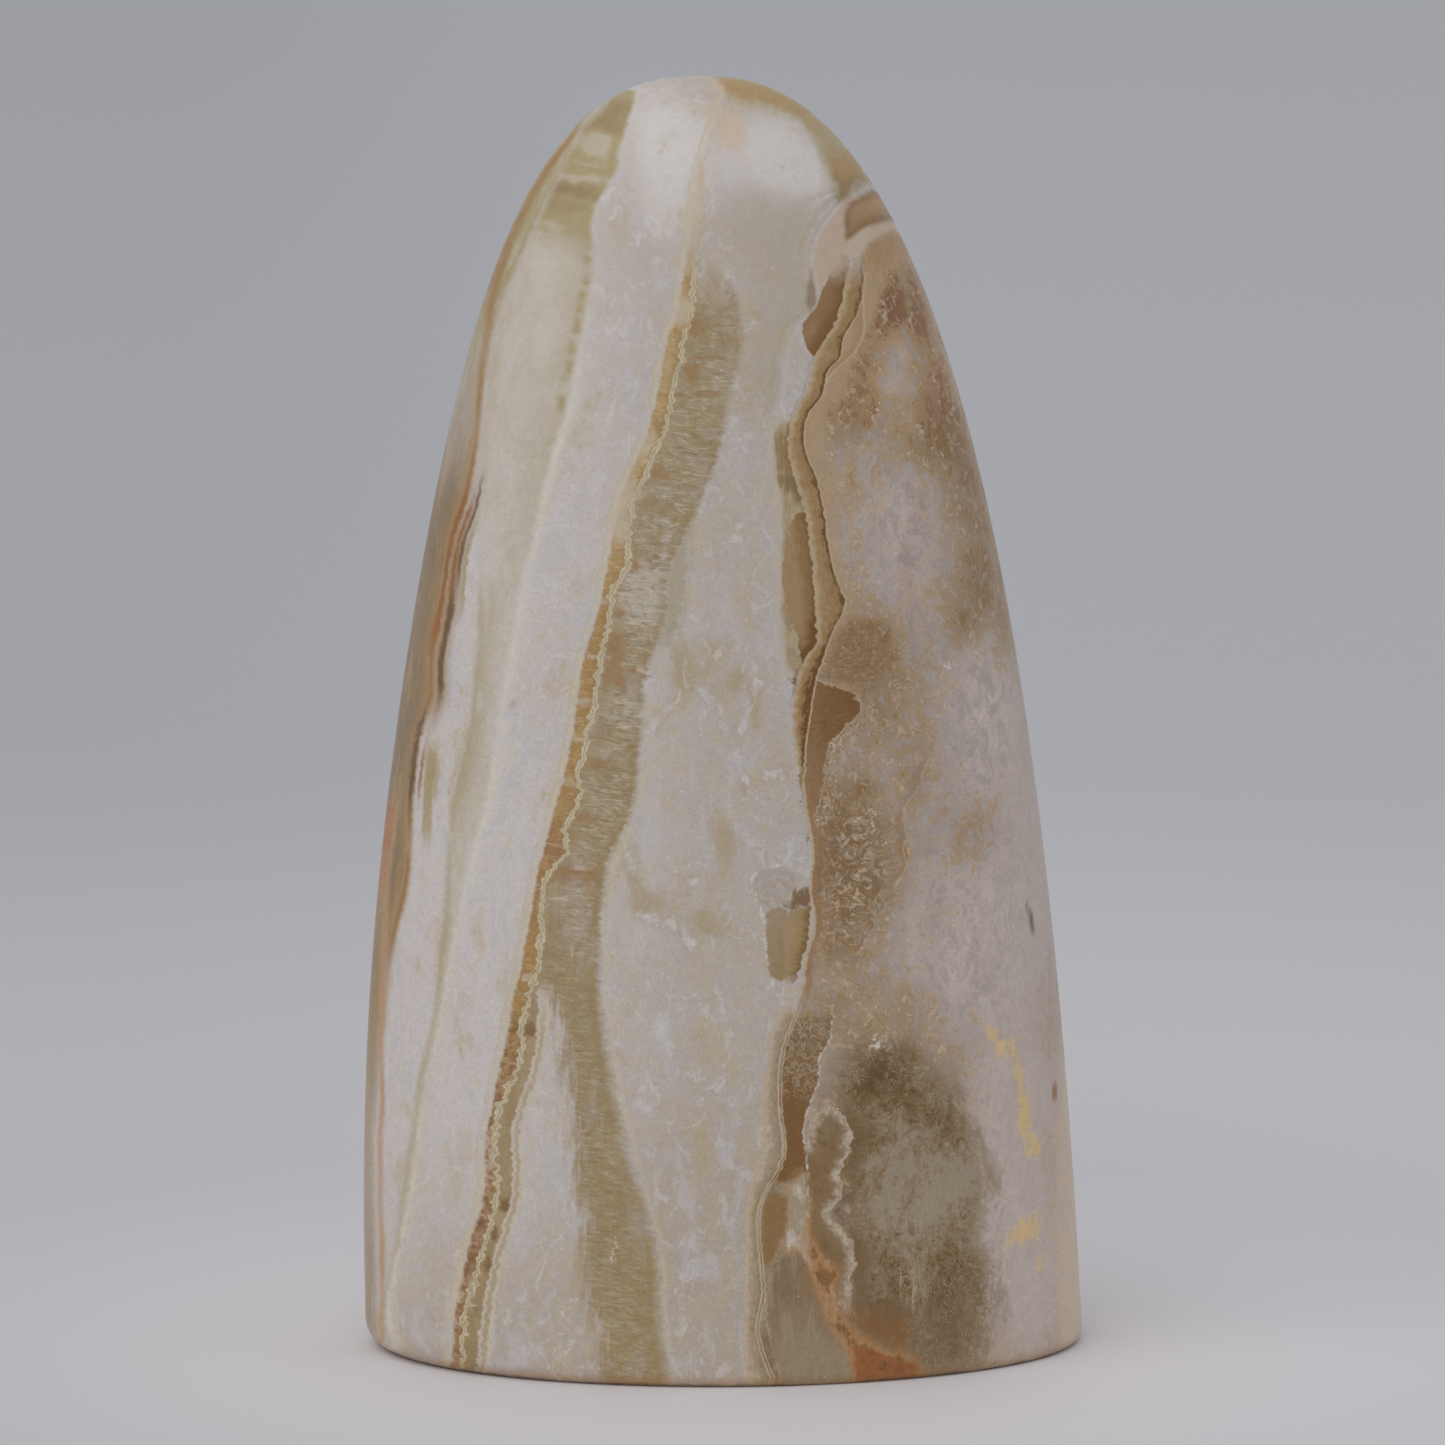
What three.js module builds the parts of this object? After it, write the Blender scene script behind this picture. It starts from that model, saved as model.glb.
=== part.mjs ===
// Aragonite freeform: one polished stone, ground to a tall dome and cut flat underneath so that it stands.
//
// The stone is a turned dome pulled into an oval. Height up the dome is t, 0 at the cut base and 1 at the tip.
// Its half-width shrinks as (1 - t^2) to a power, a little fuller than an ellipse, and its depth shrinks slightly
// faster, so the broad faces flatten towards the tip. The axis leans to the left and back on its way up, and hand
// grinding has left it up to a millimetre slimmer or fuller here and there.
//
// Units are millimetres. +Z is up, -Y is the broad front face, and the origin is the middle of the cut base.

import * as THREE from "three";

// Driving dimensions.
const HEIGHT = 130;
const WIDTH = 73.8;
const DEPTH = 46;
const LEAN_LEFT = 2.4; // how far the tip stands to the left of the base's middle
const LEAN_BACK = 2.4; // how far it stands behind it

// The dome's curve.
const WIDTH_POWER = 0.412;
const DEPTH_POWER = 0.467;
const RIM_RADIUS = 1.3; // the eased edge round the cut base
const RIM_WEAR_LEFT = 1.5; // extra rounding of that edge at the left end

// Hand grinding, as shares of the radius.
const WAIST = 0.022; // slimmer at mid height
const LOW_FULLNESS = 0.008; // fuller at a quarter of the height than at three quarters
const LEFT_FULLNESS = 0.009; // the same, on the left side only, and the other way on the right
const TWIST = 0.012; // fuller at the front left and back right than at the other two corners

// How finely the surface is faceted.
const COLUMNS = 72;
const RINGS = 30;
const RIM_RINGS = 3;

/** Half-width at height t, as a share of the base's half-width. */
function widthShare(t) {
  return Math.pow(Math.max(0, 1 - t * t), WIDTH_POWER);
}

/** How much narrower the dome is in depth than in width at height t. */
function depthTrim(t) {
  return Math.pow(Math.max(0, 1 - t * t), DEPTH_POWER - WIDTH_POWER);
}

/** What hand grinding makes of the radius at this angle round the stone and this height. */
function grinding(angle, t) {
  const fade = 4 * t * (1 - t);
  const wave = Math.sin(2 * Math.PI * t);
  const belly = wave * (LOW_FULLNESS - LEFT_FULLNESS * Math.cos(angle));
  return 1 + fade * (TWIST * Math.sin(2 * angle) - WAIST) + belly;
}

/** The turned outline, radius and height both as shares: the flat base, the eased rim, then the dome. */
function turnedOutline() {
  const rim = RIM_RADIUS / HEIGHT;
  const inset = RIM_RADIUS / (WIDTH / 2);
  const outline = [new THREE.Vector2(0, 0)];
  for (let i = 0; i < RIM_RINGS; i++) {
    const turn = (Math.PI / 2) * (i / RIM_RINGS);
    const height = rim * (1 - Math.cos(turn));
    outline.push(new THREE.Vector2(widthShare(height) - inset * (1 - Math.sin(turn)), height));
  }
  const start = Math.asin(rim);
  for (let i = 0; i < RINGS; i++) {
    const height = Math.sin(start + (Math.PI / 2 - start) * (i / RINGS));
    outline.push(new THREE.Vector2(widthShare(height), height));
  }
  outline.push(new THREE.Vector2(0, 1));
  return outline;
}

/** Moves a point of the turned dome (radius and height as shares, axis +Y) to its place on the stone. */
function placeOnStone(point) {
  const t = point.y;
  const angle = Math.atan2(-point.z, point.x);
  const radius = Math.hypot(point.x, point.z);
  const edge = Math.max(0, 1 - (t * HEIGHT) / (RIM_RADIUS + RIM_WEAR_LEFT));
  const leftness = Math.max(0, -Math.cos(angle));
  const wear = (RIM_WEAR_LEFT / (WIDTH / 2)) * leftness * edge * edge;
  const ground = grinding(angle, t) * (radius > 0 ? 1 - wear / Math.max(radius, wear) : 1);
  return new THREE.Vector3(
    (WIDTH / 2) * point.x * ground - LEAN_LEFT * t,
    (DEPTH / 2) * -point.z * ground * depthTrim(t) + LEAN_BACK * t,
    HEIGHT * t,
  );
}

/** The stone's closed surface, with its bounding box centred over the origin and its base on z = 0. */
function stoneGeometry() {
  const geometry = new THREE.LatheGeometry(turnedOutline(), COLUMNS);
  const position = geometry.getAttribute("position");
  const point = new THREE.Vector3();
  for (let i = 0; i < position.count; i++) {
    point.fromBufferAttribute(position, i);
    position.setXYZ(i, ...placeOnStone(point).toArray());
  }
  geometry.computeBoundingBox();
  const middle = geometry.boundingBox.getCenter(new THREE.Vector3());
  geometry.translate(-middle.x, -middle.y, 0);
  geometry.computeVertexNormals();
  return geometry;
}

const polishedAragonite = new THREE.MeshStandardMaterial({
  name: "polished_aragonite",
  color: 0xcbbfb2,
  roughness: 0.28,
  metalness: 0,
});

const stone = new THREE.Mesh(stoneGeometry(), polishedAragonite);
stone.name = "aragonite_stone";

const freeform = new THREE.Group();
freeform.name = "aragonite_freeform";
freeform.add(stone);

export default freeform;
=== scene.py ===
import math

import bpy
import numpy as np
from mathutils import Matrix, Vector


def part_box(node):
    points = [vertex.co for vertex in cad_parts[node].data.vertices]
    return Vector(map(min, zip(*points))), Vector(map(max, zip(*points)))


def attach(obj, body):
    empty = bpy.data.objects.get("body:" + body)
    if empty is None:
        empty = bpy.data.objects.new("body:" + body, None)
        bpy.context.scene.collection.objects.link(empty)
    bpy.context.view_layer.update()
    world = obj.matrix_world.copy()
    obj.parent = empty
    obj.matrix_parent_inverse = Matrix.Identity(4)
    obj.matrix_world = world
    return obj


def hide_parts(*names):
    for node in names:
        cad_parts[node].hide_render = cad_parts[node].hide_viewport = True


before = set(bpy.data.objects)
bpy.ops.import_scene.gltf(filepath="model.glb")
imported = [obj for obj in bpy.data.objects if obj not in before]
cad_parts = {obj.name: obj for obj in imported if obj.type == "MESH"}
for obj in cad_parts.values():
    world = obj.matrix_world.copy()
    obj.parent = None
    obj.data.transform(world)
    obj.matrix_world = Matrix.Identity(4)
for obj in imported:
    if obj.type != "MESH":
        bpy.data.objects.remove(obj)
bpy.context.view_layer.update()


# ---------------------------------------------------------------- the stone
# One natural piece of banded aragonite, ground by hand to a tall dome of oval
# section, polished all over, and sawn flat underneath so that it stands.
# Its layers grew one on another, so they run right through it, front to back.

box_low, box_high = (np.array(corner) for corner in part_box("aragonite_stone"))

# Millimetres, on a stone of this height.
HEIGHT = 130
HALF_WIDTH, HALF_DEPTH = 36.9, 23.0
LEAN = 2.4  # how far the tip stands to the left of the base's middle, and as far behind it
RIM_RADIUS, RIM_WEAR = 1.3, 1.5  # the eased rim, and what wear adds to it at the left end
mm = (box_high[2] - box_low[2]) / HEIGHT

# Shares of the radius.
FULLNESS = 0.412  # the power that shapes the dome: less is fuller
DEPTH_TRIM = 0.055  # added to that power for the depth
WAIST, TWIST = 0.022, 0.012  # slimmer at mid height, fuller at two of the four corners
LOW_FULLNESS, LEFT_FULLNESS = 0.008, 0.009  # fuller low down, and more so on the left

COLUMNS = 300  # round the stone
BASE_RINGS = 10  # from the middle of the cut base out to its rim
RIM_RINGS = 8  # round the eased rim
DOME_RINGS = 274  # from the rim to the tip


def stone_grid():
    """Points of the stone on a grid of ring by column, in metres.

    Each ring has a radius and a height, as shares of the whole. On the cut base the height is 0 while the
    radius grows evenly. The rim is a quarter round. On the dome the height is the sine of an evenly growing
    turn and the radius is 1 - height^2 to a power. Each column has an angle, crowded towards the
    broad faces. The ring is stretched to an oval and leans left and back with height. Grinding trims its
    radius by sines of the angle and of the height, and the left end of the rim is worn rounder.
    """
    rim, inset, wear_reach = RIM_RADIUS / HEIGHT, RIM_RADIUS / HALF_WIDTH, (RIM_RADIUS + RIM_WEAR) / HEIGHT

    turn = np.linspace(0, np.pi / 2, RIM_RINGS, endpoint=False)
    rim_height = rim * (1 - np.cos(turn))
    rim_radius = (1 - rim_height**2) ** FULLNESS - inset * (1 - np.sin(turn))
    start = math.asin(rim)
    dome_height = np.sin(np.linspace(start, np.pi / 2, DOME_RINGS))
    dome_radius = np.clip(1 - dome_height**2, 0, 1) ** FULLNESS
    base_radius = np.linspace(0, rim_radius[0], BASE_RINGS, endpoint=False)
    radius = np.concatenate([base_radius, rim_radius, dome_radius])[:, None]
    height = np.concatenate([0 * base_radius, rim_height, dome_height])[:, None]

    even = np.linspace(-np.pi, np.pi, COLUMNS, endpoint=False)
    angle = (even + 0.2 * np.sin(2 * even))[None, :]

    fade = 4 * height * (1 - height)
    wave = np.sin(2 * np.pi * height)
    belly = wave * (LOW_FULLNESS - LEFT_FULLNESS * np.cos(angle))
    ground = 1 + fade * (TWIST * np.sin(2 * angle) - WAIST) + belly
    left_rim = np.clip(-np.cos(angle), 0, None) * np.clip(1 - height / wear_reach, 0, None) ** 2
    ground = ground * (1 - RIM_WEAR / HALF_WIDTH * left_rim)
    trim = np.clip(1 - height**2, 0, 1) ** DEPTH_TRIM
    x = HALF_WIDTH * radius * np.cos(angle) * ground - LEAN * height
    y = HALF_DEPTH * radius * np.sin(angle) * ground * trim + LEAN * height
    z = height + 0 * angle

    grid = np.stack([x, y, z], axis=-1)
    lowest, highest = grid.min(axis=(0, 1)), grid.max(axis=(0, 1))
    return box_low + (grid - lowest) * (box_high - box_low) / (highest - lowest)


def closed_mesh(name, grid):
    """A closed mesh from a grid of rings whose first and last rings are single points: quads between
    neighbouring rings and columns, and a fan of triangles at each end."""
    rings, columns = grid.shape[:2]
    points = np.concatenate([grid[0, :1], grid[1:-1].reshape(-1, 3), grid[-1, :1]])
    here = np.arange(columns)
    after = (here + 1) % columns
    ring = 1 + columns * np.arange(rings - 3)[:, None]
    quads = np.stack([ring + here, ring + after, ring + columns + after, ring + columns + here], axis=-1)
    last, top = 1 + columns * (rings - 3), len(points) - 1
    bottom_fan = np.stack([0 * here, 1 + after, 1 + here], axis=-1)
    top_fan = np.stack([last + here, last + after, 0 * here + top], axis=-1)
    mesh = bpy.data.meshes.new(name)
    faces = quads.reshape(-1, 4).tolist() + bottom_fan.tolist() + top_fan.tolist()
    mesh.from_pydata(points.tolist(), [], faces)
    mesh.shade_smooth()
    return mesh, points


stone_mesh, stone_points = closed_mesh("banded_stone", stone_grid())
stone = bpy.data.objects.new("banded_stone", stone_mesh)
bpy.context.scene.collection.objects.link(stone)

# The layers are placed in millimetres by how far across them a point is and by its height. They stand
# upright and run from front to back with a slight slant. Behind the stone's middle they swing over and
# climb, so that the back and the far half of each side differ from the front.
across = stone_points[:, 0] / mm + 0.18 * stone_points[:, 1] / mm
height = stone_points[:, 2] / mm
backness = np.clip(stone_points[:, 1] / box_high[1], 0, 1)
behind = backness**2 * (3 - 2 * backness)
across = across + behind * (3 + 5 * np.sin(height / 21 + 0.6))
height = height + behind * (9 + 4 * np.sin(height / 17))
dip = np.sqrt(backness**2 + 0.01) - 0.1
across = across + 9 * dip
height = height + 24 * dip


def growth_line(places):
    """How far to the right of a growth line each point of the stone lies, in millimetres. The line is a
    smooth curve through places, (height, across) pairs: a cubic between each two, with the slope at each
    place taken from its neighbours."""
    at, line = np.array(sorted(places)).T
    slope = np.gradient(line, at)
    i = np.clip(np.searchsorted(at, height) - 1, 0, len(at) - 2)
    step = at[i + 1] - at[i]
    t = np.clip((height - at[i]) / step, 0, 1)
    curve = (
        (2 * t**3 - 3 * t**2 + 1) * line[i]
        + (t**3 - 2 * t**2 + t) * step * slope[i]
        + (3 * t**2 - 2 * t**3) * line[i + 1]
        + (t**3 - t**2) * step * slope[i + 1]
    )
    return across - curve


def rounded(places, closed=True):
    """The same corners cut twice, each at a quarter and three quarters of its sides."""
    p = np.array(places, float)
    for _ in range(2):
        q = np.roll(p, -1, axis=0)
        cut = np.stack([0.75 * p + 0.25 * q, 0.25 * p + 0.75 * q], axis=1)
        p = cut.reshape(-1, 2) if closed else np.concatenate([p[:1], cut[:-1].reshape(-1, 2), p[-1:]])
    return p


def strand(places, closed=False):
    """The distance in millimetres from each point of the stone to a line through places, (height, across)
    pairs: the shortest way to any of its straight stretches."""
    p = rounded(places, closed)
    q = np.roll(p, -1, axis=0)
    nearest = np.full(len(height), 1e3)
    for a, b in zip(p, q) if closed else zip(p[:-1], p[1:]):
        along = b - a
        share = ((height - a[0]) * along[0] + (across - a[1]) * along[1]) / (along @ along)
        share = np.clip(share, 0, 1)
        gap = np.hypot(height - a[0] - share * along[0], across - a[1] - share * along[1])
        nearest = np.minimum(nearest, gap)
    return nearest


def strands(*lines):
    """How far each point is from the nearest of several open lines."""
    return np.minimum.reduce([strand(line) for line in lines])


def patch(places):
    """The distance in millimetres outside a closed outline, less than 0 inside it. A point is inside if a
    level line from it crosses the outline an odd number of times."""
    p = rounded(places)
    q = np.roll(p, -1, axis=0)
    inside = np.zeros(len(height), bool)
    for a, b in zip(p, q):
        level = (a[0] > height) != (b[0] > height)
        if a[0] != b[0]:
            inside ^= level & (across < a[1] + (b[1] - a[1]) * (height - a[0]) / (b[0] - a[0]))
    return np.where(inside, -1, 1) * strand(places, closed=True)


def clouds(*places):
    """A soft share that adds up rounded heaps, (height, across, half height, half width, strength)."""
    total = 0
    for at, line, tall, wide, strength in places:
        total = total + strength * np.exp(-(((height - at) / tall) ** 2) - ((across - line) / wide) ** 2)
    return total


layers = {
    # the main seam: two fine crinkled lines, an ochre layer left of them, a fibrous olive band right
    "seam": growth_line([
        (130, 1.8), (126, -0.8), (122, -3.1), (117.3, -4), (114.4, -4.2), (112.6, -5), (108.9, -5.7),
        (103, -7.1), (98.1, -8.4), (92.7, -10.3), (89.9, -11.7), (87.1, -12.8), (81, -14),
        (80.2, -14.7), (77.9, -15), (73.2, -16.2), (71, -16.4), (66.2, -17.4), (62.6, -18.3),
        (61.4, -18.8), (60.2, -18.4), (56, -20), (53.2, -20.2), (52.2, -21.1), (45.4, -22.4),
        (43.9, -22.5), (37.8, -24), (31, -25.1), (29.3, -26), (26, -26.9), (19.3, -26.9), (11.5, -28.5),
        (4.4, -30), (0.7, -30),
    ]),
    "ochre": growth_line([
        (130, 0.6), (120.7, -4.2), (114.3, -5.5), (108.7, -6.9), (106.8, -7.3), (105.1, -8.1),
        (99.2, -9.6), (94.3, -11.2), (89.8, -13.2), (82.9, -15), (78.9, -15.9), (72.9, -17.7),
        (65.5, -18.9), (58.5, -20.7), (52.4, -22.4), (45.4, -23.7), (38.7, -25), (30, -26.8),
        (23.4, -27.9), (19.2, -28), (13, -29.4), (5.6, -30.7), (0.7, -30.9),
    ]),
    "low_lane": growth_line([
        (42, -21.2), (40, -22.7), (37.9, -22.7), (31.3, -23.8), (26.7, -25.3), (19.5, -25.5),
        (12.2, -27.3), (4.4, -28.5), (1.2, -28.7),
    ]),
    "olive_right": growth_line([
        (114.1, -3.9), (112.3, -3.2), (109.5, -1.4), (106.6, -0.9), (103.6, -1.1), (99.7, -2.3),
        (91.4, -4.5), (87.9, -6.1), (82.5, -8.9), (75.1, -10.4), (73.5, -11.3), (64.1, -12.6),
        (55.6, -14.7), (54.1, -15.6), (50.1, -16.4), (38.2, -16.9), (29.6, -15.8), (19.1, -13.3),
        (12, -11.9), (7.5, -11.9), (1.3, -11),
    ]),
    "second_olive": growth_line([
        (95, -4), (91.8, -5.6), (88.9, -6.6), (84.9, -7.3), (81, -7.7), (77, -8.5), (74.1, -9.5),
        (70, -11),
    ]),
    "wedge": growth_line([
        (40, -21.9), (34.4, -20.7), (29, -20.2), (22.9, -19.8), (16.9, -19.2), (8.8, -18.7),
        (4.7, -17.5), (1.7, -17.3),
    ]),
    "pale_threads": strands(
        [(92.7, -11.3), (92.4, -8)], [(74.1, -19.5), (73.4, -17.7), (73, -14.5), (71.8, -11.6)],
        [(68.7, -18.1), (68.7, -17)], [(64.6, -22), (65, -17.9), (64.8, -14.3)],
        [(49.2, -23.1), (49.2, -20)], [(44.7, -23.9), (44.7, -22.7)], [(41.5, -24), (41.6, -22.8)],
        [(40.8, -24.3), (40.8, -22.8)], [(99.8, -9.5), (99.9, -3.2)],
        [(84.9, -13.8), (84.5, -11.9), (82.9, -8.8)], [(102.5, -5.6), (101.7, -3.4)],
        [(44.7, -19.7), (42.4, -19.7)],
    ),
    "brown_threads": strands(
        [(99.3, -9.5), (99.3, -3.2)], [(103, -6), (102.8, -2.6)], [(106.1, -3.7), (106, -1.6)],
        [(83.8, -14.2), (83.6, -10.5)], [(79.9, -14.2), (79.6, -11.1)], [(73.1, -16.2), (71.4, -11.4)],
        [(65.3, -17.3), (64.3, -12.6)], [(40.3, -20.8), (39.9, -22.6)], [(52, -19.9), (51.4, -16.2)],
        [(25.1, -19.7), (25.6, -18.2)],
    ),
    # the pale band on the left, between the flank and a soft cream line, with an olive line low on its left
    "pale_right": growth_line([
        (128.7, -8.6), (124, -10.9), (120.6, -12.1), (118, -13.9), (116.2, -14.6), (113.3, -14.5),
        (107.9, -15.6), (98.6, -17.9), (90.5, -20.3), (80.6, -22.8), (72.1, -24.6), (60.6, -26.5),
        (53, -28.4), (46.2, -29.9), (33.8, -32.1), (26.7, -33.4), (18.3, -34.3), (11.9, -35.3),
        (5, -36.1), (1.6, -35.8),
    ]),
    "pale_left": growth_line([
        (130, -10.2), (126.9, -12.2), (124.9, -14.4), (120.3, -17.2), (112.7, -21), (107, -23.3),
        (98, -25.3), (88, -26.5), (79.3, -26.8), (72.2, -27.4), (64.3, -28.4), (55.2, -30.3),
        (47.1, -30.9), (38.1, -31.9), (27.5, -33.7), (15, -35.1), (2, -36.9),
    ]),
    # thin lines at the left end, and short rusty and dark dashes beside them
    "flank_line": growth_line([
        (130, -11.5), (125, -14.7), (121.1, -17.6), (116.1, -20.5), (112.3, -22.2), (107.7, -23.7),
        (100.9, -25.2), (93.9, -26.3), (87.9, -27.6), (84.8, -28.6), (77.3, -29.9), (72.9, -30.9),
        (67.7, -31.3), (64.6, -32.2), (59.6, -33), (50.4, -33.8), (42, -35.3), (37, -35.8), (2, -37.5),
    ]),
    "rim_line": growth_line([
        (60, -33.8), (54.8, -34.4), (48.9, -35.2), (42.8, -35.6), (37, -35.9), (30.7, -36.3),
        (20.3, -36.7), (7, -36.7),
    ]),
    # the crinkled strips right of the middle, and the pale line that curves over their top
    "strip_left": growth_line([
        (118, 15), (114.5, 12.6), (112.7, 11.6), (108.2, 10), (105.8, 8.9), (102.7, 6.6), (99.6, 5.6),
        (96.6, 3.8), (94.5, 3.4), (87.8, 4.8), (80.1, 5.5), (76.2, 5.6), (74.3, 5.4), (73.2, 4.5),
        (70.3, 3.3), (66.7, 2.8), (63, 3.1), (59, 3.8), (55, 4.1), (43, 3.2), (38.5, 1.2), (36.4, 0.1),
        (32.3, -0.7), (27.8, -1.2), (24, -1.4), (19, -2.7), (13, -3), (7.2, -3.3), (0, -3.1),
    ]),
    "strip_right": growth_line([
        (118, 17), (115.8, 14.6), (111.2, 12.6), (109.8, 12.6), (107.2, 11.7), (104.4, 9.8),
        (102.4, 9.1), (101.5, 8), (99.1, 7.2), (97.2, 5.6), (93.4, 5.2), (91.3, 6), (79.6, 8.3),
        (78.5, 8.8), (76.2, 7.6), (71.5, 5.6), (68.9, 4.9), (63.1, 3.9), (58.5, 3.9), (53.7, 4.6),
        (50, 4.2), (46.5, 4.6), (44, 3.8), (39.7, 3), (33.7, 0.8), (28.2, 0.4), (23.4, 0.6),
        (21.5, -0.1), (19.8, -1.2), (12.5, -1.7), (9.7, -1.5), (5.8, -2.1), (1.2, -0.7),
    ]),
    "second_strip": growth_line([
        (112, 14.3), (110.9, 13.1), (107.4, 12.3), (105.6, 12.2), (103, 10.9), (101.9, 9.4),
        (100.5, 7.7), (98.7, 7.4),
    ]),
    "pale_arc": growth_line([
        (119, 14.8), (118.1, 11.5), (117.5, 10.6), (114.7, 7.8), (112.3, 7), (108, 7.3), (107.2, 6.9),
        (106.1, 5.2), (105, 4.5), (103.7, 3.9), (100.8, 3.4), (96.5, 2.2),
    ]),
    "zone_edge": growth_line([
        (65, 19), (61.4, 16.9), (59.6, 16.1), (58.5, 14.9), (57.1, 14.5), (54, 14.5), (51.1, 14.1),
        (50.4, 13.4), (49.6, 11.8), (48.9, 11.2), (45.9, 10.6), (44.7, 9.8), (39, 8.5),
    ]),
    "crystal_line": growth_line([
        (38.4, 6.2), (37.3, 6.2), (34.7, 5.7), (32.7, 4.6), (31.2, 4.7), (28.8, 3.7), (26.3, 3),
        (23.1, 3.3), (17.1, 3.4),
    ]),
    # smooth leaf-shaped pieces beside the strips; where one touches a strip it runs on under it
    "halo": patch([
        (96.5, 2), (94.2, 1.6), (86, 2.4), (83, 2), (75.5, 2), (71.6, 2.2), (71.5, 5.5), (80, 8),
        (88, 7), (96.5, 5),
    ]),
    "lens": patch([
        (87.6, 6.5), (87.6, 4.5), (87.2, 3.4), (82, 2.1), (80, 2.2), (77.1, 2.7), (75.2, 3.7),
        (72, 3.7), (72.5, 6.5), (78, 8),
    ]),
    "dark_bits": np.minimum.reduce([
        patch([(91.2, 2.9), (91.9, 6), (89, 6), (88.7, 3.7), (90.6, 2.4)]),
        patch([(71.5, 2), (71.6, 5), (68.3, 4.5), (68.3, 3.2), (69.8, 3.2), (70.7, 2.5)]),
        patch([(50.1, 2.5), (50, 4.6), (48.5, 4.6), (48.2, 3.2), (48.5, 1.5), (49.3, 1.9)]),
    ]),
    "dark_leaf": patch([
        (112.3, 11.2), (111.3, 9.2), (109.3, 7.7), (107.5, 7.2), (105.9, 5.1), (102.1, 6.3), (104.5, 9),
        (107.5, 10.9), (111.2, 12),
    ]),
    "sliver": patch([(111.8, 7), (110.8, 6.4), (107, 6), (107.6, 6.9), (108.9, 7.3), (110.3, 7.1)]),
    "peach_leaf": patch([
        (118.9, 17), (118.1, 11.5), (114.7, 7.8), (112.3, 7), (108, 7.2), (109.4, 7.6), (111, 9.2),
        (112.3, 11.1), (112.7, 10.6), (113.3, 10.4), (114.3, 11.8), (115.4, 13.6), (115.8, 17.5),
    ]),
    "gold_top": patch([
        (115.2, 21), (114.9, 14.2), (112.6, 12.5), (110.6, 12.8), (109.4, 14), (111.7, 17), (111, 21)
    ]),
    "brown_top": patch([
        (117.4, 11.2), (118.7, 14.3), (119.4, 20), (115.4, 20), (115.5, 13.7), (113.7, 10.8),
        (115.8, 11),
    ]),
    "fold": patch([
        (115.6, 20), (115.3, 13.9), (114.5, 12), (113.1, 10.3), (112.5, 11), (112.7, 12.6),
        (114.1, 13.7), (114.9, 20),
    ]),
    "brown_leaf": patch([
        (77.3, 9.1), (76, 8.6), (72.7, 6.5), (71.1, 5.9), (69.6, 9.8), (70.5, 11.8), (72.6, 12.9),
        (74.4, 13), (75.8, 12.1), (76.5, 10.1),
    ]),
    "wedge_leaf": patch([
        (70.8, 5.6), (69.8, 8.6), (69, 9.5), (67.8, 10.3), (67, 9.2), (64.8, 6.8), (63.5, 6.1),
        (60.7, 5.8), (57.2, 4.9), (56, 3), (60, 2), (71, 3),
    ]),
    "gold_leaf": patch([
        (48.2, 1.7), (48.3, 6), (40.5, 5), (40.5, 2), (40.9, 1.2), (43.2, 1.4), (46.4, 1.2)
    ]),
    "olive_leaf": patch([
        (48.2, -0.7), (48.6, 1.8), (46.3, 1.8), (40.6, 1.6), (41.2, 0.2), (41.6, -0.2), (44.7, -0.5)
    ]),
    "grey_pane": patch([
        (51.2, -1.9), (51.9, -1.4), (52.7, 1), (51.6, 2.8), (50.2, 2.5), (48.7, 1.4), (47.8, -0.7),
        (49.6, -1.5),
    ]),
    "folds": strands(
        [(72.5, -7.9), (69.3, -8.1), (68.5, -9.1), (67.8, -10.4), (66.1, -11.4)],
        [(75.6, -8.8), (74.2, -8.6), (72.9, -7.7)], [(74.8, -6.2), (73.2, -5.1), (74.6, -4)],
        [(70.6, -0.6), (66.8, -2.2), (65.3, -2.8)],
        [(47.2, -9.6), (48.7, -9.4), (50.7, -8.6), (51.2, -8)],
        [(47.9, -13.3), (47, -9.8), (45.9, -8.3), (43.8, -7.6)],
        [(55.8, -14.9), (54.1, -14.2), (51.8, -13.2)],
        [(91.2, 6.7), (93.7, 7.3), (95.8, 8.4), (97, 9.9), (97.5, 11.6)],
        [(62, 1.5), (61.2, -0.5), (61.3, -2)],
    ),
    "foot_ground": patch([
        (21.5, -0.8), (20.4, 1.6), (17.5, 1.9), (15, 1.4), (13, 3.2), (7, 5.6), (2, 8), (-3, 9),
        (-3, -1.5), (6, -2.2), (14, -1.9),
    ]),
    "pane_line": strand([
        (53.2, 3.4), (52.7, 1), (51.9, -1.4), (51.2, -1.9), (49.6, -1.5), (47.8, -0.7), (44, -0.5),
        (41.4, -0.1), (39.8, 0.4), (38.2, 1.4),
    ]),
    "low_leaf": patch([
        (14.2, 2.2), (13.9, 0.6), (9.8, -0.9), (7.2, -1), (3, 0), (-2, 1.5), (-2, 8.5), (2.7, 7.6),
        (6, 5.7), (9.5, 4.3), (12.3, 3.5),
    ]),
    "small_leaf": patch([
        (19.8, -1.2), (19.7, 1.4), (17, 1.3), (15.9, 0.9), (13.4, -0.2), (12.2, -0.5), (12.5, -1.5),
        (16.7, -1.3),
    ]),
    "inner_leaf": patch([
        (27, 3.4), (28.5, 5.6), (28.2, 6.6), (25.3, 8.7), (24.3, 7.6), (23.5, 8.3), (21.9, 6.8),
        (20.7, 6.8), (19.6, 7.5), (18.1, 6), (17.3, 5.5), (15.4, 7.4), (13.9, 8.2), (12.6, 8.4),
        (8.7, 7.6), (7.8, 8), (5.5, 8.4), (9.5, 5.8), (12.2, 5.8), (14.7, 3.7), (17, 3.2), (23, 3),
    ]),
    "frost": strand([
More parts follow.
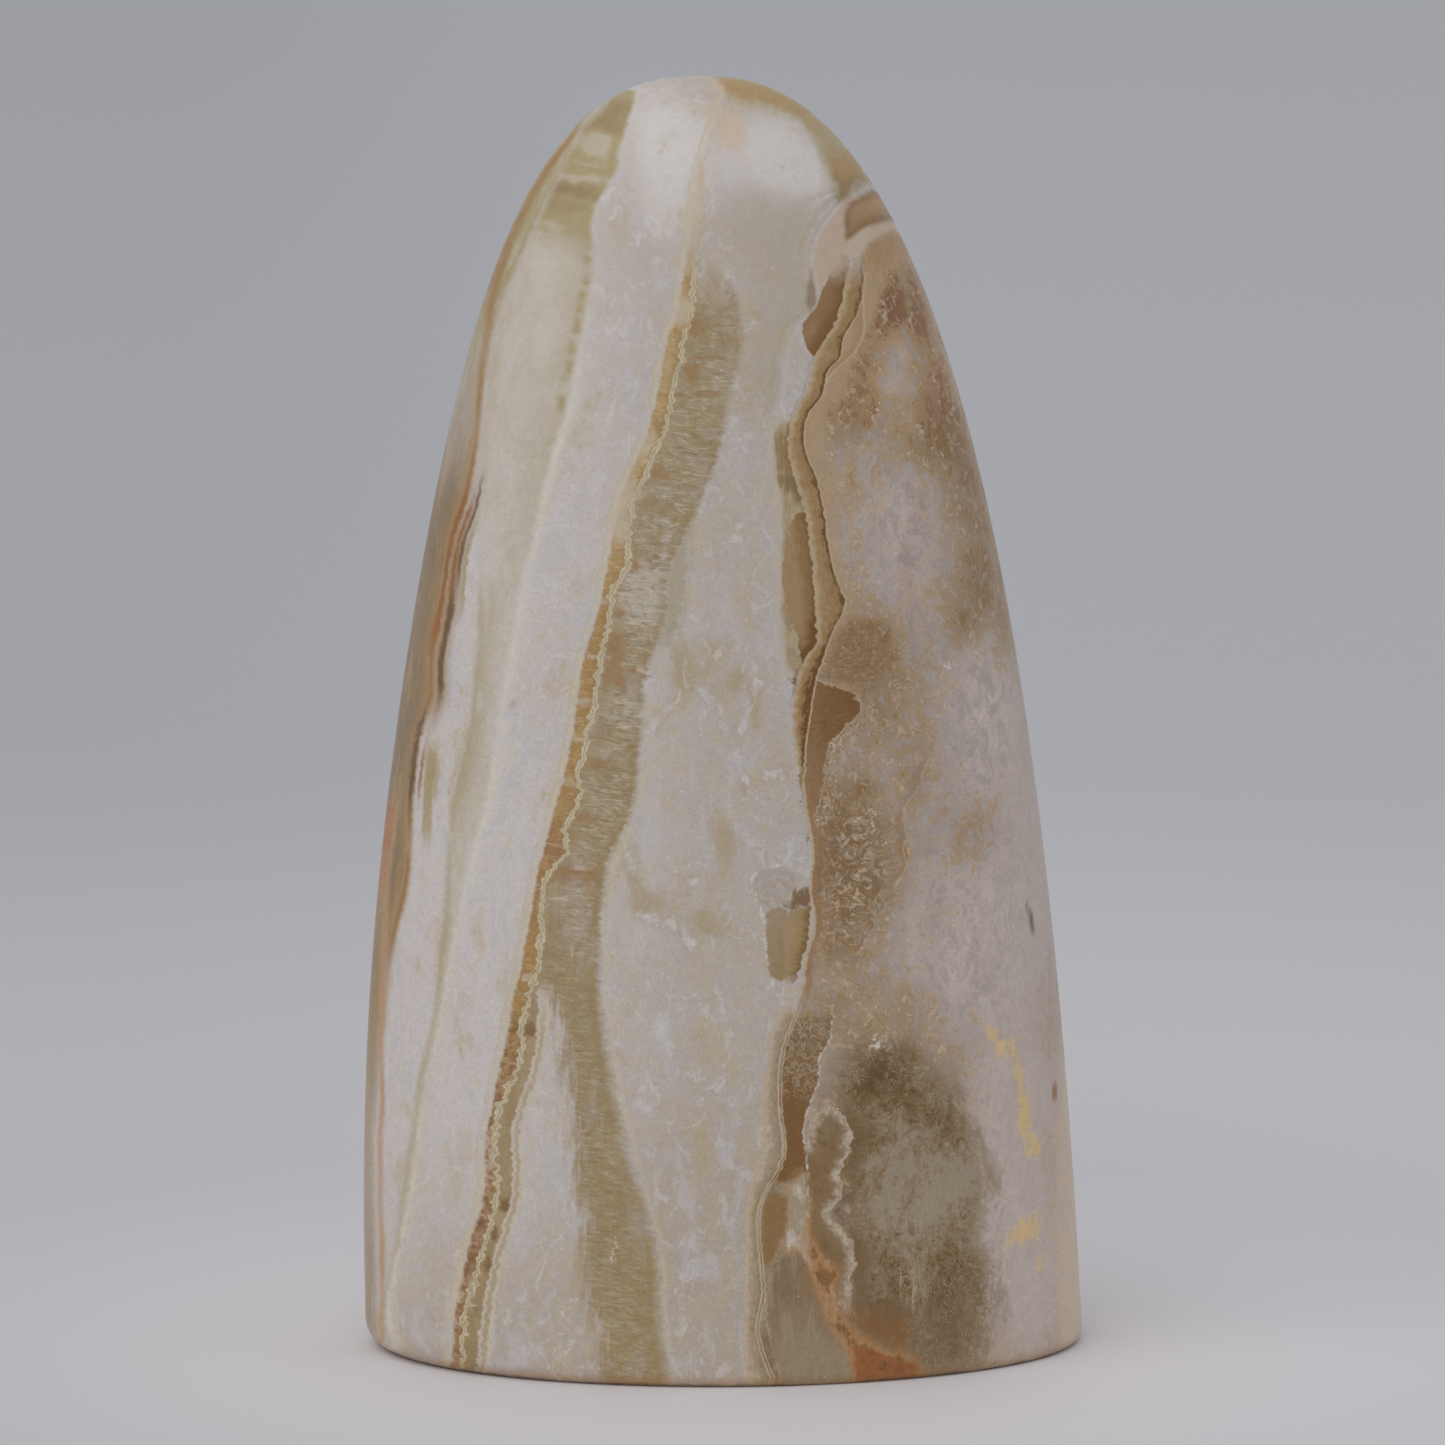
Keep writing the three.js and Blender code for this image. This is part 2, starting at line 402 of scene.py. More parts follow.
        (24.8, 3.9), (26.3, 4.5), (28.3, 6.2), (25.3, 8.7), (24.3, 7.6), (23.5, 8.3), (21.9, 6.8),
        (20.7, 6.8), (19.6, 7.5), (18.1, 6), (17.3, 5.5), (15.4, 7.4), (13.9, 8.2), (12.6, 8.4),
        (8.7, 7.6), (7.8, 8), (6.6, 11), (6.6, 13),
    ]),
    "vein": patch([
        (17, 3.1), (12.3, 3.5), (9.5, 4.3), (7.7, 5.2), (6, 5.7), (4.9, 6.6), (2.7, 7.6), (-2, 8.5),
        (-2, 16), (1.7, 15.5), (2.6, 12.9), (4.1, 10.5), (4.7, 8.8), (5.9, 7.6), (7.6, 6.4), (9.5, 5.9),
        (11.1, 6.4), (12.2, 6.2), (13, 4.8), (14.7, 3.8), (16.5, 3.4),
    ]),
    "spike": patch([
        (22.2, 3.2), (20.2, 1.4), (18.6, 1.6), (17, 1.4), (15.4, 0.8), (13.9, 0.6), (13.7, 1.7),
        (14, 2.4), (17, 3.2), (18.6, 3.4),
    ]),
    "amber": patch([
        (8.7, 6.4), (7.8, 8), (6.6, 11), (6.5, 14), (2.7, 13.9), (4.5, 10), (5, 8.7), (6.2, 7.4)
    ]),
    "crystal": patch([
        (35.4, 11.4), (35.6, 15.2), (33.9, 17.3), (30.7, 20.5), (26.7, 22.1), (23.7, 23.2),
        (19.1, 25.5), (16.4, 23.6), (12.6, 24.1), (8.6, 25.3), (3.8, 24.6), (-2, 21.9), (-2, 7),
        (6, 6.5), (20, 5), (30, 4), (36, 7.5),
    ]),
    "cap": patch([
        (133, 0), (129.3, -0.6), (127.3, 1.1), (127, 3.9), (125.5, 7.3), (123.7, 8.8), (121.7, 9.7),
        (120, 10.1), (117.6, 10.7), (118.8, 12.7), (119.4, 15), (119.8, 19), (124, 15.5), (129, 9.5),
    ]),
    # shares of softer things
    "frosting": clouds(
        (79.6, -11.8, 3.8, 2.6, 1.2), (60, -14.5, 4, 1.6, 0.5), (67.8, -13.5, 2.2, 2.2, 0.7)
    ),
    "ochre_gaps": clouds(
        (107.3, -6.6, 1.3, 2, 0.9), (94.5, -11, 2.2, 2, 0.7), (87.5, -13, 4, 2, 1.1),
        (78.8, -15.6, 0.6, 1.5, 0.8), (68.7, -17.9, 0.5, 1.5, 0.8), (65.3, -18.6, 0.6, 1.5, 0.8),
        (60.8, -19.4, 0.7, 1, 0.7), (23, -27.8, 3, 2, 0.9), (116, -5, 6, 3, 0.9), (125, -1, 6, 3, 0.8),
    ),
    "smooth_blocks": clouds(
        (105.6, -5.6, 1, 1, 1), (101.7, -6.2, 1.3, 1.2, 0.9), (91.3, -9.8, 1.4, 1.6, 0.7),
        (88.4, -10.8, 1, 1.4, 0.9), (82.3, -13, 0.5, 1, 1), (77.6, -14.2, 0.5, 0.8, 0.9),
        (74.5, -14.8, 1.5, 1, 1.1), (71.3, -15.1, 1.5, 1.4, 1.1), (65.8, -16.1, 0.7, 0.8, 1),
        (62.8, -16.4, 1, 1.4, 1.1), (57.4, -18, 0.6, 1.2, 1), (55.3, -19.7, 1, 0.9, 0.9),
        (51.6, -20, 1.1, 1.2, 1.2), (51.2, -17.3, 1.2, 1.2, 0.8), (46, -21, 2.4, 1, 0.9),
        (110.8, -3.4, 1.2, 1, 0.7), (104.8, -2.4, 1, 1.4, 0.6), (70.5, -12.8, 1.4, 1.4, 0.7),
        (54.5, -16.8, 1.6, 1, 0.4),
    ),
    "dark_spots": clouds(
        (35.8, -23.6, 1, 0.6, 1.1), (17.9, -26.2, 0.8, 0.6, 1.2), (15, -27.2, 1, 0.5, 1.1),
        (11.5, -27.7, 1.6, 0.6, 0.8), (7, -28.9, 1.4, 0.7, 0.6), (38.8, -23.1, 1, 0.7, 0.5),
        (23.5, -26.3, 1.4, 0.6, 0.4), (35.9, -25, 0.7, 0.6, 1), (18.3, -27.9, 1.2, 0.5, 0.8),
        (15.6, -28.5, 1, 0.5, 0.8), (12, -29.2, 1.8, 0.45, 1), (39.7, -25, 1.5, 0.5, 0.4),
    ),
    "stain": clouds(
        (72.9, -8.2, 2.2, 1, 1.3), (74, -5.2, 1, 0.7, 0.9), (70.8, -5, 2.4, 2.6, 0.5),
        (71, -2.7, 1.2, 0.9, 0.9), (67.8, -1.2, 2.6, 0.6, 1), (61, -2.4, 2.4, 0.6, 0.9),
        (54.6, -4.1, 2.8, 1.1, 0.8), (57, -7, 2, 2, 0.3), (48.9, -11.9, 1.3, 1.6, 1.2),
        (46.9, -6.8, 1, 0.9, 1.5), (47.5, -9, 1.6, 1.2, 0.4), (46.3, -5, 1.4, 1.4, 0.6),
        (51, -13.4, 3, 1, 0.5), (33, -13, 3, 4, 0.3), (100, -1, 7, 3, 0.3), (22, -10, 6, 4, 0.25),
        (61, -31.3, 3.5, 0.8, 0.9), (68, -28.6, 4, 1, 0.5),
    ),
    "grey_zone": patch([
        (115.9, -4.4), (118, -2.6), (119.8, 1.1), (119.9, 3.2), (118, 8), (112, 6.6), (104, 3.4),
        (96, 1), (95, -1), (101, -1.2), (108, 0.4), (112, -1.5),
    ]),
    "peach_top": clouds(
        (124.8, -0.2, 2.2, 1.6, 1), (126, -2.6, 2.5, 0.7, 0.6), (121, -3.9, 2.5, 0.5, 0.8),
        (129.4, 0.5, 0.8, 2, 0.9), (117, -4.6, 3, 0.5, 0.6),
    ),
    "brownness": clouds(
        (107, 18.5, 5, 3.5, 1.1), (107.2, 15.2, 2.6, 1.6, 1.5), (103, 12, 4, 2, 0.7),
        (97, 21, 5, 3, 0.8), (93.5, 19, 3, 3, 0.7), (91, 23.5, 5, 3, 0.7), (86, 25, 6, 3, 0.55),
        (79, 19, 2.5, 3, 0.5), (66, 10, 3, 3, 0.5), (79, 25, 4, 4.5, 0.8), (73, 28, 4, 2.5, 0.6),
        (75, 21.5, 2.5, 3, 0.7), (73.5, 8, 2.5, 2, 0.5), (60, 10.5, 2, 2, 0.9), (97, 10, 4, 3, 0.8),
        (74, 10.5, 3, 4, 1.2), (70, 14, 4, 4.5, 0.8), (66, 15, 4, 3.5, 0.25), (54.5, 23.5, 4, 4, 0.8),
        (58, 8, 6, 5, 0.9), (51, 9, 5, 5, 1.2), (44, 7, 4, 3, 0.8), (38, 8, 4, 5, 0.8),
        (46, 18.5, 4, 4, 0.35), (62, 16, 5, 3, 0.4), (38, 14, 3, 4, 0.5), (34, 22, 4, 3, 0.4),
    ),
    "whiteness": clouds(
        (103.5, 16.6, 2.6, 1.4, 0.7), (100, 14.5, 1.8, 2.4, 0.5), (68, 17, 5, 5, 0.5),
        (65, 10, 4, 3.5, 0.15), (22, 26, 8, 3, 0.8), (38, 10, 2, 4, 0.7), (12, 23, 6, 3, 0.8),
        (87, 15, 5, 4, 0.8), (79, 18, 5, 4, 0.7), (66, 25, 7, 4, 1.2), (46, 16, 6, 5, 0.8),
        (50, 27, 9, 6, 1), (39, 23, 8, 5, 1), (27, 27, 5, 4, 0.8), (16, 27, 5, 3, 0.8),
        (8, 29, 6, 3, 0.7), (41, 7, 1.8, 3.5, 0.8), (60, 11, 2.5, 3, 0.8),
    ),
    "fibrous": clouds((49.5, 9, 5, 4, 1), (56, 10, 3, 3, 0.5)),
    "gloom": clouds(
        (31.5, 11.5, 2.2, 2.2, 0.9), (33.1, 8.9, 1.8, 1.6, 0.5), (33.6, 13, 1.8, 2.2, 0.6),
        (29, 13.5, 2.2, 2.4, 0.8), (29.7, 9.9, 1.6, 2, 0.9), (26.3, 17.7, 2, 2.6, 0.7),
        (24.1, 20.5, 2, 2, 0.4), (17.9, 6.6, 1.6, 1.2, 1.1), (25.1, 8.6, 1, 2.4, 0.7),
        (10.8, 19, 2.6, 2.6, 0.7), (8.1, 21.8, 2, 2, 0.5), (7.6, 17.4, 2, 2, 0.7),
        (4.5, 18.9, 2.4, 2.6, 1.1), (31, 11, 4, 4, 0.2), (22, 9, 4, 2, 0.3), (12, 10, 4, 3, 0.4),
        (9, 11, 2.5, 3, 0.5), (9, 12.6, 1.6, 2, 0.3), (28, 20, 2, 2, 0.3), (5, 12, 1.6, 3, 0.6),
        (23.5, 12.5, 1.6, 3, -0.3), (21.2, 14.5, 2.2, 4.5, -0.5), (18.2, 12, 2.4, 3.4, -0.5),
        (17.7, 17, 2, 3, -0.7), (19.9, 19.5, 2, 2.4, -0.6), (14.7, 12, 2, 2.4, -0.3),
        (9.8, 14.6, 2, 1, -0.4), (21.2, 21.5, 2, 2, -0.5), (14, 22.5, 2, 1.6, -0.5),
        (10.1, 10.6, 1.4, 1.4, -0.4), (1.9, 14.5, 1.6, 1.4, -0.4),
    ),
    "white_fibres": clouds((9.5, 14, 3, 2, 1), (16.5, 14.5, 2.5, 4, 0.6)),
    "yellow": clouds(
        (34.1, 24.2, 0.9, 1.2, 1.1), (32.8, 25.6, 1, 1.1, 1), (31, 27, 1.6, 0.9, 0.9),
        (28.4, 27.4, 2, 0.9, 0.7), (24.8, 28, 2.4, 0.9, 1.1), (22, 29.2, 0.9, 1.2, 1.1),
        (13.4, 27.2, 1.3, 1.8, 1.2), (14.3, 29.3, 1.4, 1, 0.7), (17.9, 31.9, 3, 0.7, 0.4),
        (10.2, 29.7, 1.4, 1, 0.6), (11, 31.9, 3, 0.7, 0.4),
    ),
    "red_spot": clouds((26.8, 32.4, 1.1, 0.45, 1.3)),
    "dark_streak": clouds(
        (46.2, 29.2, 0.9, 0.35, 0.8), (44.8, 29.7, 1, 0.4, 1.2), (43.5, 30, 0.8, 0.35, 0.9),
        (40.5, 30.8, 2, 0.3, 0.3), (41.2, 26.6, 1, 0.25, 0.4),
    ),
    "painted_glints": clouds(
        (52.9, 8.2, 0.6, 1.2, 1.1), (56.9, 11.2, 0.8, 0.5, 0.9), (54.3, 12.6, 1, 0.4, 1.1),
        (56.7, 8.7, 0.8, 0.7, 1), (44.8, 9.7, 0.7, 0.8, 0.8), (47, 15.7, 0.5, 0.6, 0.9),
        (34.3, 10.9, 0.9, 0.9, 1.2), (30.9, 14.3, 0.4, 0.4, 1), (73.3, 15.5, 0.5, 0.8, 0.9),
        (71.5, 20, 0.6, 1.2, 0.9), (97.5, 13, 0.8, 0.6, 0.8), (62.8, 13.5, 1, 1, 0.8),
        (15, -16, 3, 0.5, 0.9), (30, -15.4, 2, 0.4, 0.7), (76.5, -22, 0.4, 0.9, 0.9),
        (101, -3.2, 1.4, 0.5, 0.7),
    ),
    "pink_spot": clouds((68.2, -24.2, 0.4, 0.3, 1)),
    "margin": clouds((20, 35, 14, 3.4, 1), (4, 34.5, 9, 2.5, 0.8)),
    "painted_top_highlight": clouds(
        (123, -4, 6, 6, 0.45), (121.8, 4.6, 5, 4.4, 1), (124, -7, 5, 3.5, 0.7), (120, 9, 3, 2, 0.5),
        (117, -8, 4, 3, 0.4),
    ),
}
layers["strip_share"] = layers["strip_left"] / np.maximum(layers["strip_left"] - layers["strip_right"], 0.3)

# needles run out from these points: how far each point of the stone is from the nearest, and which way
sprays = np.array([
    (33.3, 10.2), (31.4, 8.6), (30.2, 12), (27.2, 12.6), (34.4, 6.6), (31.5, 14.6), (25, 17), (28.5, 17.5),
])
gap = np.stack([height, across], axis=-1)[:, None, :] - sprays
distance = np.hypot(gap[..., 0], gap[..., 1])
nearest = distance.argmin(axis=1)
layers["spray_reach"] = distance.min(axis=1)
ray = gap[np.arange(len(height)), nearest] / np.maximum(layers["spray_reach"], 1e-6)[:, None]
layers["spray_x"], layers["spray_y"], layers["spray_z"] = ray[:, 0], ray[:, 1], 3.7 * nearest

for name, values in layers.items():
    stone_mesh.attributes.new(name, "FLOAT", "POINT").data.foreach_set("value", values.astype(np.float32))


def paint(code):
    """A colour from its six-figure code, as the shader's linear red, green, blue and alpha."""
    parts = [int(code[i:i + 2], 16) / 255 for i in (0, 2, 4)]
    return (*[c / 12.92 if c <= 0.04045 else ((c + 0.055) / 1.055) ** 2.4 for c in parts], 1.0)


tones = {
    # whites
    "left_white": "d8d0cb", "middle_white": "c5baaf", "low_white": "bcaf9f", "milk": "e3dcd7",
    "warm_white": "d4c9be", "cream": "cbbb9c", "blue_white": "cbc8c9", "crack": "e6dfd8",
    "peach": "ddc5ab", "tan_stain": "bba988", "fleck_and_glint": "efe8df", "grey_tan": "c0b3a4",
    # the seam and the ochre layer
    "line": "d8ccad", "between_lines": "b09868", "fringe": "d5c7ae", "ochre": "b48f57",
    "ochre_light": "c3a572", "ochre_brown": "a47f4e", "ochre_faint": "cebda3", "rust_ochre": "ac8052",
    "rose_brown": "b08e6c", "rust": "8c5e3c",
    # the olive band
    "olive": "b39c76", "olive_brown": "a18859", "olive_grey": "b3a68a", "thread": "cdc2a9",
    "frosted": "ccc4b8", "deep_olive": "8f7c54", "low_olive": "a9926b", "thread_brown": "a37c4c",
    "dark_spot": "85633a",
    # the pale band and the flank
    "pale_band": "d6ccbc", "pale_band_green": "cac0ab", "cream_line": "e0d9cb", "olive_line": "bcad8e",
    "top_olive": "b2a172", "top_brown": "9f8152", "top_grey": "ccbfa8", "flank_beige": "b0966c",
    "flank_taupe": "947d61", "flank_tan": "ac8c60", "flank_ochre": "a98149", "flank_rust": "a0642f",
    "flank_dark": "6f5030", "flank_red": "c07850", "salmon": "c9a17e", "orange_tan": "c59c72",
    "spike_orange": "bf9a6b", "band_grey": "bfb3a2", "green_olive": "b7a57e",
    # strips and leaves
    "strip_pale": "b69c74", "strip_tan": "a8875a", "strip_dark": "77501f", "strip_line": "c8b395",
    "streak_pale": "bca886", "streak_dark": "a18659", "halo": "a8946f", "halo_pale": "ccbead",
    "lens_pale": "ac8f67", "lens": "99764a", "lens_dark": "785322", "dark_bit": "8a6b48",
    "beyond": "bda07c", "leaf_brown": "9b7750", "leaf_dark": "78501f", "leaf_mid": "876033",
    "leaf_top": "a98863", "peach_leaf": "cdb7a1", "leaf_tan": "b6946c", "sliver": "997f6c",
    "gold_pale": "b29774", "gold": "ab8f60", "gold_dark": "8b6a34", "olive_leaf": "a58b62",
    "taupe": "ac977d", "pane": "ab9c8f", "band_olive": "ae9874", "band_dark": "86683f",
    # crystal on the right
    "ash": "c8bab0", "pink_ash": "c0aca0", "mush_tan": "b29878", "mush_brown": "97744c",
    "warm_tan": "b7976f", "red_brown": "946a46", "umber": "86653c", "lace": "d0c0aa", "deep": "6f522c",
    "dark": "7f633c", "brown": "8d7351", "glass": "998465", "glass_pale": "a89981", "needle": "b2a286",
    "frost": "b8a58a", "inner": "8c6f48", "inner_pale": "957b5a", "low_taupe": "8e7555",
    "low_pale": "aa9a80",
    # stains
    "orange": "b5834f", "vein_brown": "86602f", "red_orange": "a3622c", "purple_brown": "7a4d2a",
    "yellow": "e4c48c", "margin": "e0c9ae", "grime_and_contact_shade": "6b5236", "edge_dark": "724d20",
    "far_ash": "cdbeb4", "cap_gold": "b4965f", "cap_brown": "957a4c", "fold": "cfbba4",
    "edge_cream": "cbb18c", "gold_line": "a58156", "amber": "90673a",
}


class Shader:
    """Writes shader nodes down one after another. Each method returns an output of the new node, or for put
    and cells the node itself."""

    def __init__(self, tree):
        self.nodes, self.links = tree.nodes, tree.links

    def put(self, kind, wires=(), **settings):
        node = self.nodes.new(kind)
        for name, value in settings.items():
            setattr(node, name, value)
        for name, value in dict(wires).items():
            if isinstance(value, bpy.types.NodeSocket):
                self.links.new(value, node.inputs[name])
            else:
                node.inputs[name].default_value = value
        return node

    def math(self, operation, first, second=0.0, third=0.0):
        wires = {0: first, 1: second} if operation != "MULTIPLY_ADD" else {0: first, 1: second, 2: third}
        return self.put("ShaderNodeMath", wires, operation=operation).outputs[0]

    def add(self, first, *others):
        for other in others:
            first = self.math("ADD", first, other)
        return first

    def times(self, first, *others):
        for other in others:
            first = self.math("MULTIPLY", first, other)
        return first

    def sway(self, value, reach):
        """Turns a noise about 0.5 into one about 0, that reach times as far."""
        return self.math("MULTIPLY_ADD", value, reach, -0.5 * reach)

    def rise(self, value, start, end, low=0.0, high=1.0):
        """Goes smoothly from low to high while value goes from start to end."""
        wires = {"Value": value, "From Min": start, "From Max": end, "To Min": low, "To Max": high}
        node = self.put("ShaderNodeMapRange", wires, interpolation_type="SMOOTHSTEP", clamp=False)
        return node.outputs[0]

    def line(self, distance, centre, half, soft):
        """1 along a line at that distance, falling to 0 beyond its half width over a soft edge."""
        off = self.math("ABSOLUTE", self.math("SUBTRACT", distance, centre))
        return self.rise(off, half + soft, max(half - soft, 0.0))

    def layer(self, share, under, over):
        over = paint(tones[over]) if isinstance(over, str) else over
        under = paint(tones[under]) if isinstance(under, str) else under
        return self.put("ShaderNodeMix", {0: share, 6: under, 7: over}, data_type="RGBA").outputs[2]

    def layer_share(self, share, under, over):
        """A number that goes from under to over with share."""
        return self.put("ShaderNodeMix", {0: share, 2: under, 3: over}, data_type="FLOAT").outputs[0]

    def shade(self, colour, share):
        """The colour, made brighter or darker by a share."""
        return self.put("ShaderNodeHueSaturation", {"Color": colour, "Value": share}).outputs[0]

    def along(self, vector, way):
        node = self.put("ShaderNodeVectorMath", {0: vector, 1: way}, operation="DOT_PRODUCT")
        return node.outputs["Value"]

    def stretch(self, vector, x, y, z):
        return self.put("ShaderNodeVectorMath", {0: vector, 1: (x, y, z)}, operation="MULTIPLY").outputs[0]

    def noise(self, vector, scale, detail=2.0, rough=0.5, distortion=0.0):
        wires = {"Vector": vector, "Scale": scale, "Detail": detail, "Roughness": rough}
        return self.put("ShaderNodeTexNoise", wires | {"Distortion": distortion}).outputs[0]

    def cells(self, vector, scale):
        return self.put("ShaderNodeTexVoronoi", {"Vector": vector, "Scale": scale})

    def value(self, name):
        return self.put("ShaderNodeAttribute", attribute_name=name).outputs["Fac"]


def effect(name, **outputs):
    """A new shader group that works from a place in millimetres. Outputs are given as name=kind."""
    group = bpy.data.node_groups.new(name, "ShaderNodeTree")
    group.interface.new_socket("Millimetres", in_out="INPUT", socket_type="NodeSocketVector")
    for label, kind in outputs.items():
        group.interface.new_socket(label, in_out="OUTPUT", socket_type="NodeSocket" + kind)
    shader = Shader(group)
    place = shader.put("NodeGroupInput").outputs["Millimetres"]
    return group, place, shader.put("NodeGroupOutput").inputs


# The stone's colour: one layer over another, from the ground up, written into one shader group.
layers_group, place, out = effect("aragonite_layers", Colour="Color")
shader = Shader(layers_group)
put, calc, add, times, sway = shader.put, shader.math, shader.add, shader.times, shader.sway
rise, line, along, stretch, value = shader.rise, shader.line, shader.along, shader.stretch, shader.value
layer, layer_share, shade = shader.layer, shader.layer_share, shader.shade
noise, cells = shader.noise, shader.cells

# Heights in millimetres: level, on lines that fall slightly to the right, and wavering a little (z, below).
level = along(place, (0, 0, 1))
slant = along(place, (0.14, 0, 1))

# crinkles that neighbouring lines share, because they vary little across the layers
squeezed = stretch(place, 0.25, 1, 1)
broad = noise(squeezed, 0.17, 1)
fine = noise(squeezed, 1.5, 2)
cusps = cells(squeezed, 1.5).outputs["Distance"]
teeth = cells(squeezed, 1.7).outputs["Distance"]
small = add(sway(broad, 0.7), sway(fine, 0.5))
z = add(level, small)
zigzag = add(calc("MULTIPLY_ADD", cusps, 0.6, -0.33), calc("MULTIPLY_ADD", teeth, 0.4, -0.22))
crinkle = add(times(small, 0.5), zigzag)
serration = add(sway(fine, 0.5), calc("MULTIPLY_ADD", teeth, 0.3, -0.13))
toothed = add(sway(broad, 0.4), sway(fine, 0.4), calc("MULTIPLY_ADD", teeth, 0.4, -0.18))
rippled = add(sway(broad, 0.4), sway(fine, 0.35), calc("MULTIPLY_ADD", teeth, 0.16, -0.07))

# clouds at three scales, drawn out along the layers, and fibres that stand across them
drawn = stretch(place, 1, 1, 0.45)
big = noise(drawn, 0.08, 3, 0.55, 0.5)
mid = noise(drawn, 0.3, 4, 0.6, 0.6)
grain = noise(place, 1.4, 4, 0.65)
mottle = noise(stretch(place, 1, 1, 0.75), 0.5, 6, 0.75, 1)
upright = noise(stretch(place, 1.8, 1, 0.22), 1.2, 3, 0.6)
flecks = rise(cells(place, 1.3).outputs["Distance"], 0.16, 0.06)
rows = put("ShaderNodeCombineXYZ", {0: along(place, (0.3, 0, 0)), 2: slant}).outputs[0]
fibre = noise(rows, 2.6, 3, 0.6, 0.4)
bundle = noise(rows, 0.7, 2, 0.5)
slopes = put("ShaderNodeCombineXYZ", {0: along(place, (0.22, 0, 0)), 2: slant}).outputs[0]
threads = noise(slopes, 3.1, 4, 0.7, 0.9)


def near(name, wobble=None):
    """How far a point is from a growth line or an outline, made to waver."""
    return add(value(name), small if wobble is None else wobble)


def within(name, wobble=None, soft=0.12):
    """1 inside a closed outline and 0 outside it, over a soft edge."""
    return rise(near(name, wobble), soft, -soft)


def coats(colour, *tones_over):
    """Lays one tone after another over a colour. Each is (pattern, start, end, most, tone): it covers
    nothing where the pattern is at start, and a share of most where it is at end."""
    for pattern, start, end, most, tone in tones_over:
        colour = layer(rise(pattern, start, end, 0, most), colour, tone)
    return colour


seam = near("seam", crinkle)

# Milky ground: pinkish white on the left, warmer and greyer in the middle and low down, with soft
# clouds, creamy and tan patches, a painted milky highlight on the top of the dome and a few healed cracks.
side = add(along(place, (1, 0, 0)), sway(big, 30))
colour = layer(rise(side, -24, -2), "left_white", "middle_white")
low = add(z, sway(big, 40), times(side, -0.5))
colour = coats(
    colour,
    (low, 42, 14, 0.9, "low_white"),
    (mid, 0.5, 0.7, 0.4, "cream"),
    (mid, 0.48, 0.34, 0.65, "blue_white"),
    (mottle, 0.52, 0.66, 0.5, "cream"),
    (mottle, 0.48, 0.36, 0.55, "milk"),
)
# painted highlight: milky white heaped on the top of the dome
colour = layer(rise(value("painted_top_highlight"), 0.1, 0.9, 0, 0.85), colour, "milk")
grey = add(near("grey_zone"), sway(mid, 5), sway(big, 4))
colour = layer(rise(grey, 1.4, -3, 0, 0.8), colour, "grey_tan")
peach = add(value("peach_top"), sway(mid, 0.8))
colour = layer(rise(peach, 0.1, 0.9, 0, 0.8), colour, "peach")
stain = add(value("stain"), sway(mid, 2), sway(mottle, 2))
colour = layer(rise(stain, 0.1, 1, 0, 0.85), colour, "tan_stain")
crack = noise(place, 0.12, 4, 0.6, 0.8)
shown = times(rise(big, 0.48, 0.6), rise(level, 108, 96))
colour = layer(times(line(crack, 0.5, 0.002, 0.005), shown, 0.45), colour, "crack")
folds = add(value("folds"), sway(mottle, 4), sway(grain, 1))
colour = layer(rise(folds, 0.3, 0, 0, 0.35), colour, "crack")
colour = layer(times(rise(folds, 1.2, 0.5), rise(folds, 0.2, 0.4), 0.35), colour, "tan_stain")
colour = layer(times(flecks, rise(mid, 0.52, 0.62), 0.4), colour, "fleck_and_glint")

# Pale band on the left with faint fibres across it: olive and brown in blocks at its top, an olive
# streak down its right side there, a soft cream line along that side, and an olive line low on its left.
right, left = near("pale_right", rippled), near("pale_left", times(small, 0.6))
inside = times(rise(right, 0.1, -0.5), rise(left, -0.5, 0.7))
body = coats(
    "pale_band",
    (mid, 0.38, 0.62, 1, "pale_band_green"),
    (fibre, 0.42, 0.64, 0.5, "warm_white"),
)
body = layer(times(rise(right, -4, -1), rise(z, 80, 90), 0.4), body, "olive_line")
colour = layer(times(inside, 0.8), colour, body)
uneven = add(z, sway(mid, 2.5), times(left, 0.15))
upper = times(rise(uneven, 112.5, 116.5), inside, rise(left, -1, 0.6))
top = layer(rise(bundle, 0.5, 0.7, 0, 0.8), "top_olive", "top_grey")
for at, half, share in ((126.5, 1.6, 0.7), (119.4, 0.6, 1), (117.7, 0.7, 0.5)):
    top = layer(times(line(uneven, at, half, 0.6), share), top, "top_brown")
for at, half in ((120.6, 0.15), (123.6, 0.7)):
    top = layer(times(line(uneven, at, half, 0.4), 0.7), top, "top_grey")
colour = layer(times(upper, 0.9), colour, top)
streak = times(line(right, -0.75, 0.2, 0.5), rise(z, 92, 97), rise(bundle, 0.38, 0.6))
colour = layer(times(streak, 0.9), colour, "top_olive")
low = times(rise(z, 82, 76), rise(broad, 0.3, 0.6, 0.55, 1))
wide = times(line(left, 0.5, 0.5, 0.7), rise(mid, 0.4, 0.6, 0.2, 0.7))
colour = layer(times(low, wide), colour, "olive_line")
colour = layer(times(line(left, 0.15, 0.15, 0.3), low, 0.8), colour, "olive_line")
lower = rise(z, 112, 95, 0.3, 1)
shoulder = times(line(right, 0.3, 0.3, 0.7), rise(mid, 0.35, 0.6, 0.2, 0.6), lower)
colour = layer(shoulder, colour, "cream_line")
crest = times(line(right, 0.15, 0.06, 0.25), rise(bundle, 0.35, 0.55, 0.15, 0.6), lower)
colour = layer(crest, colour, "cream_line")

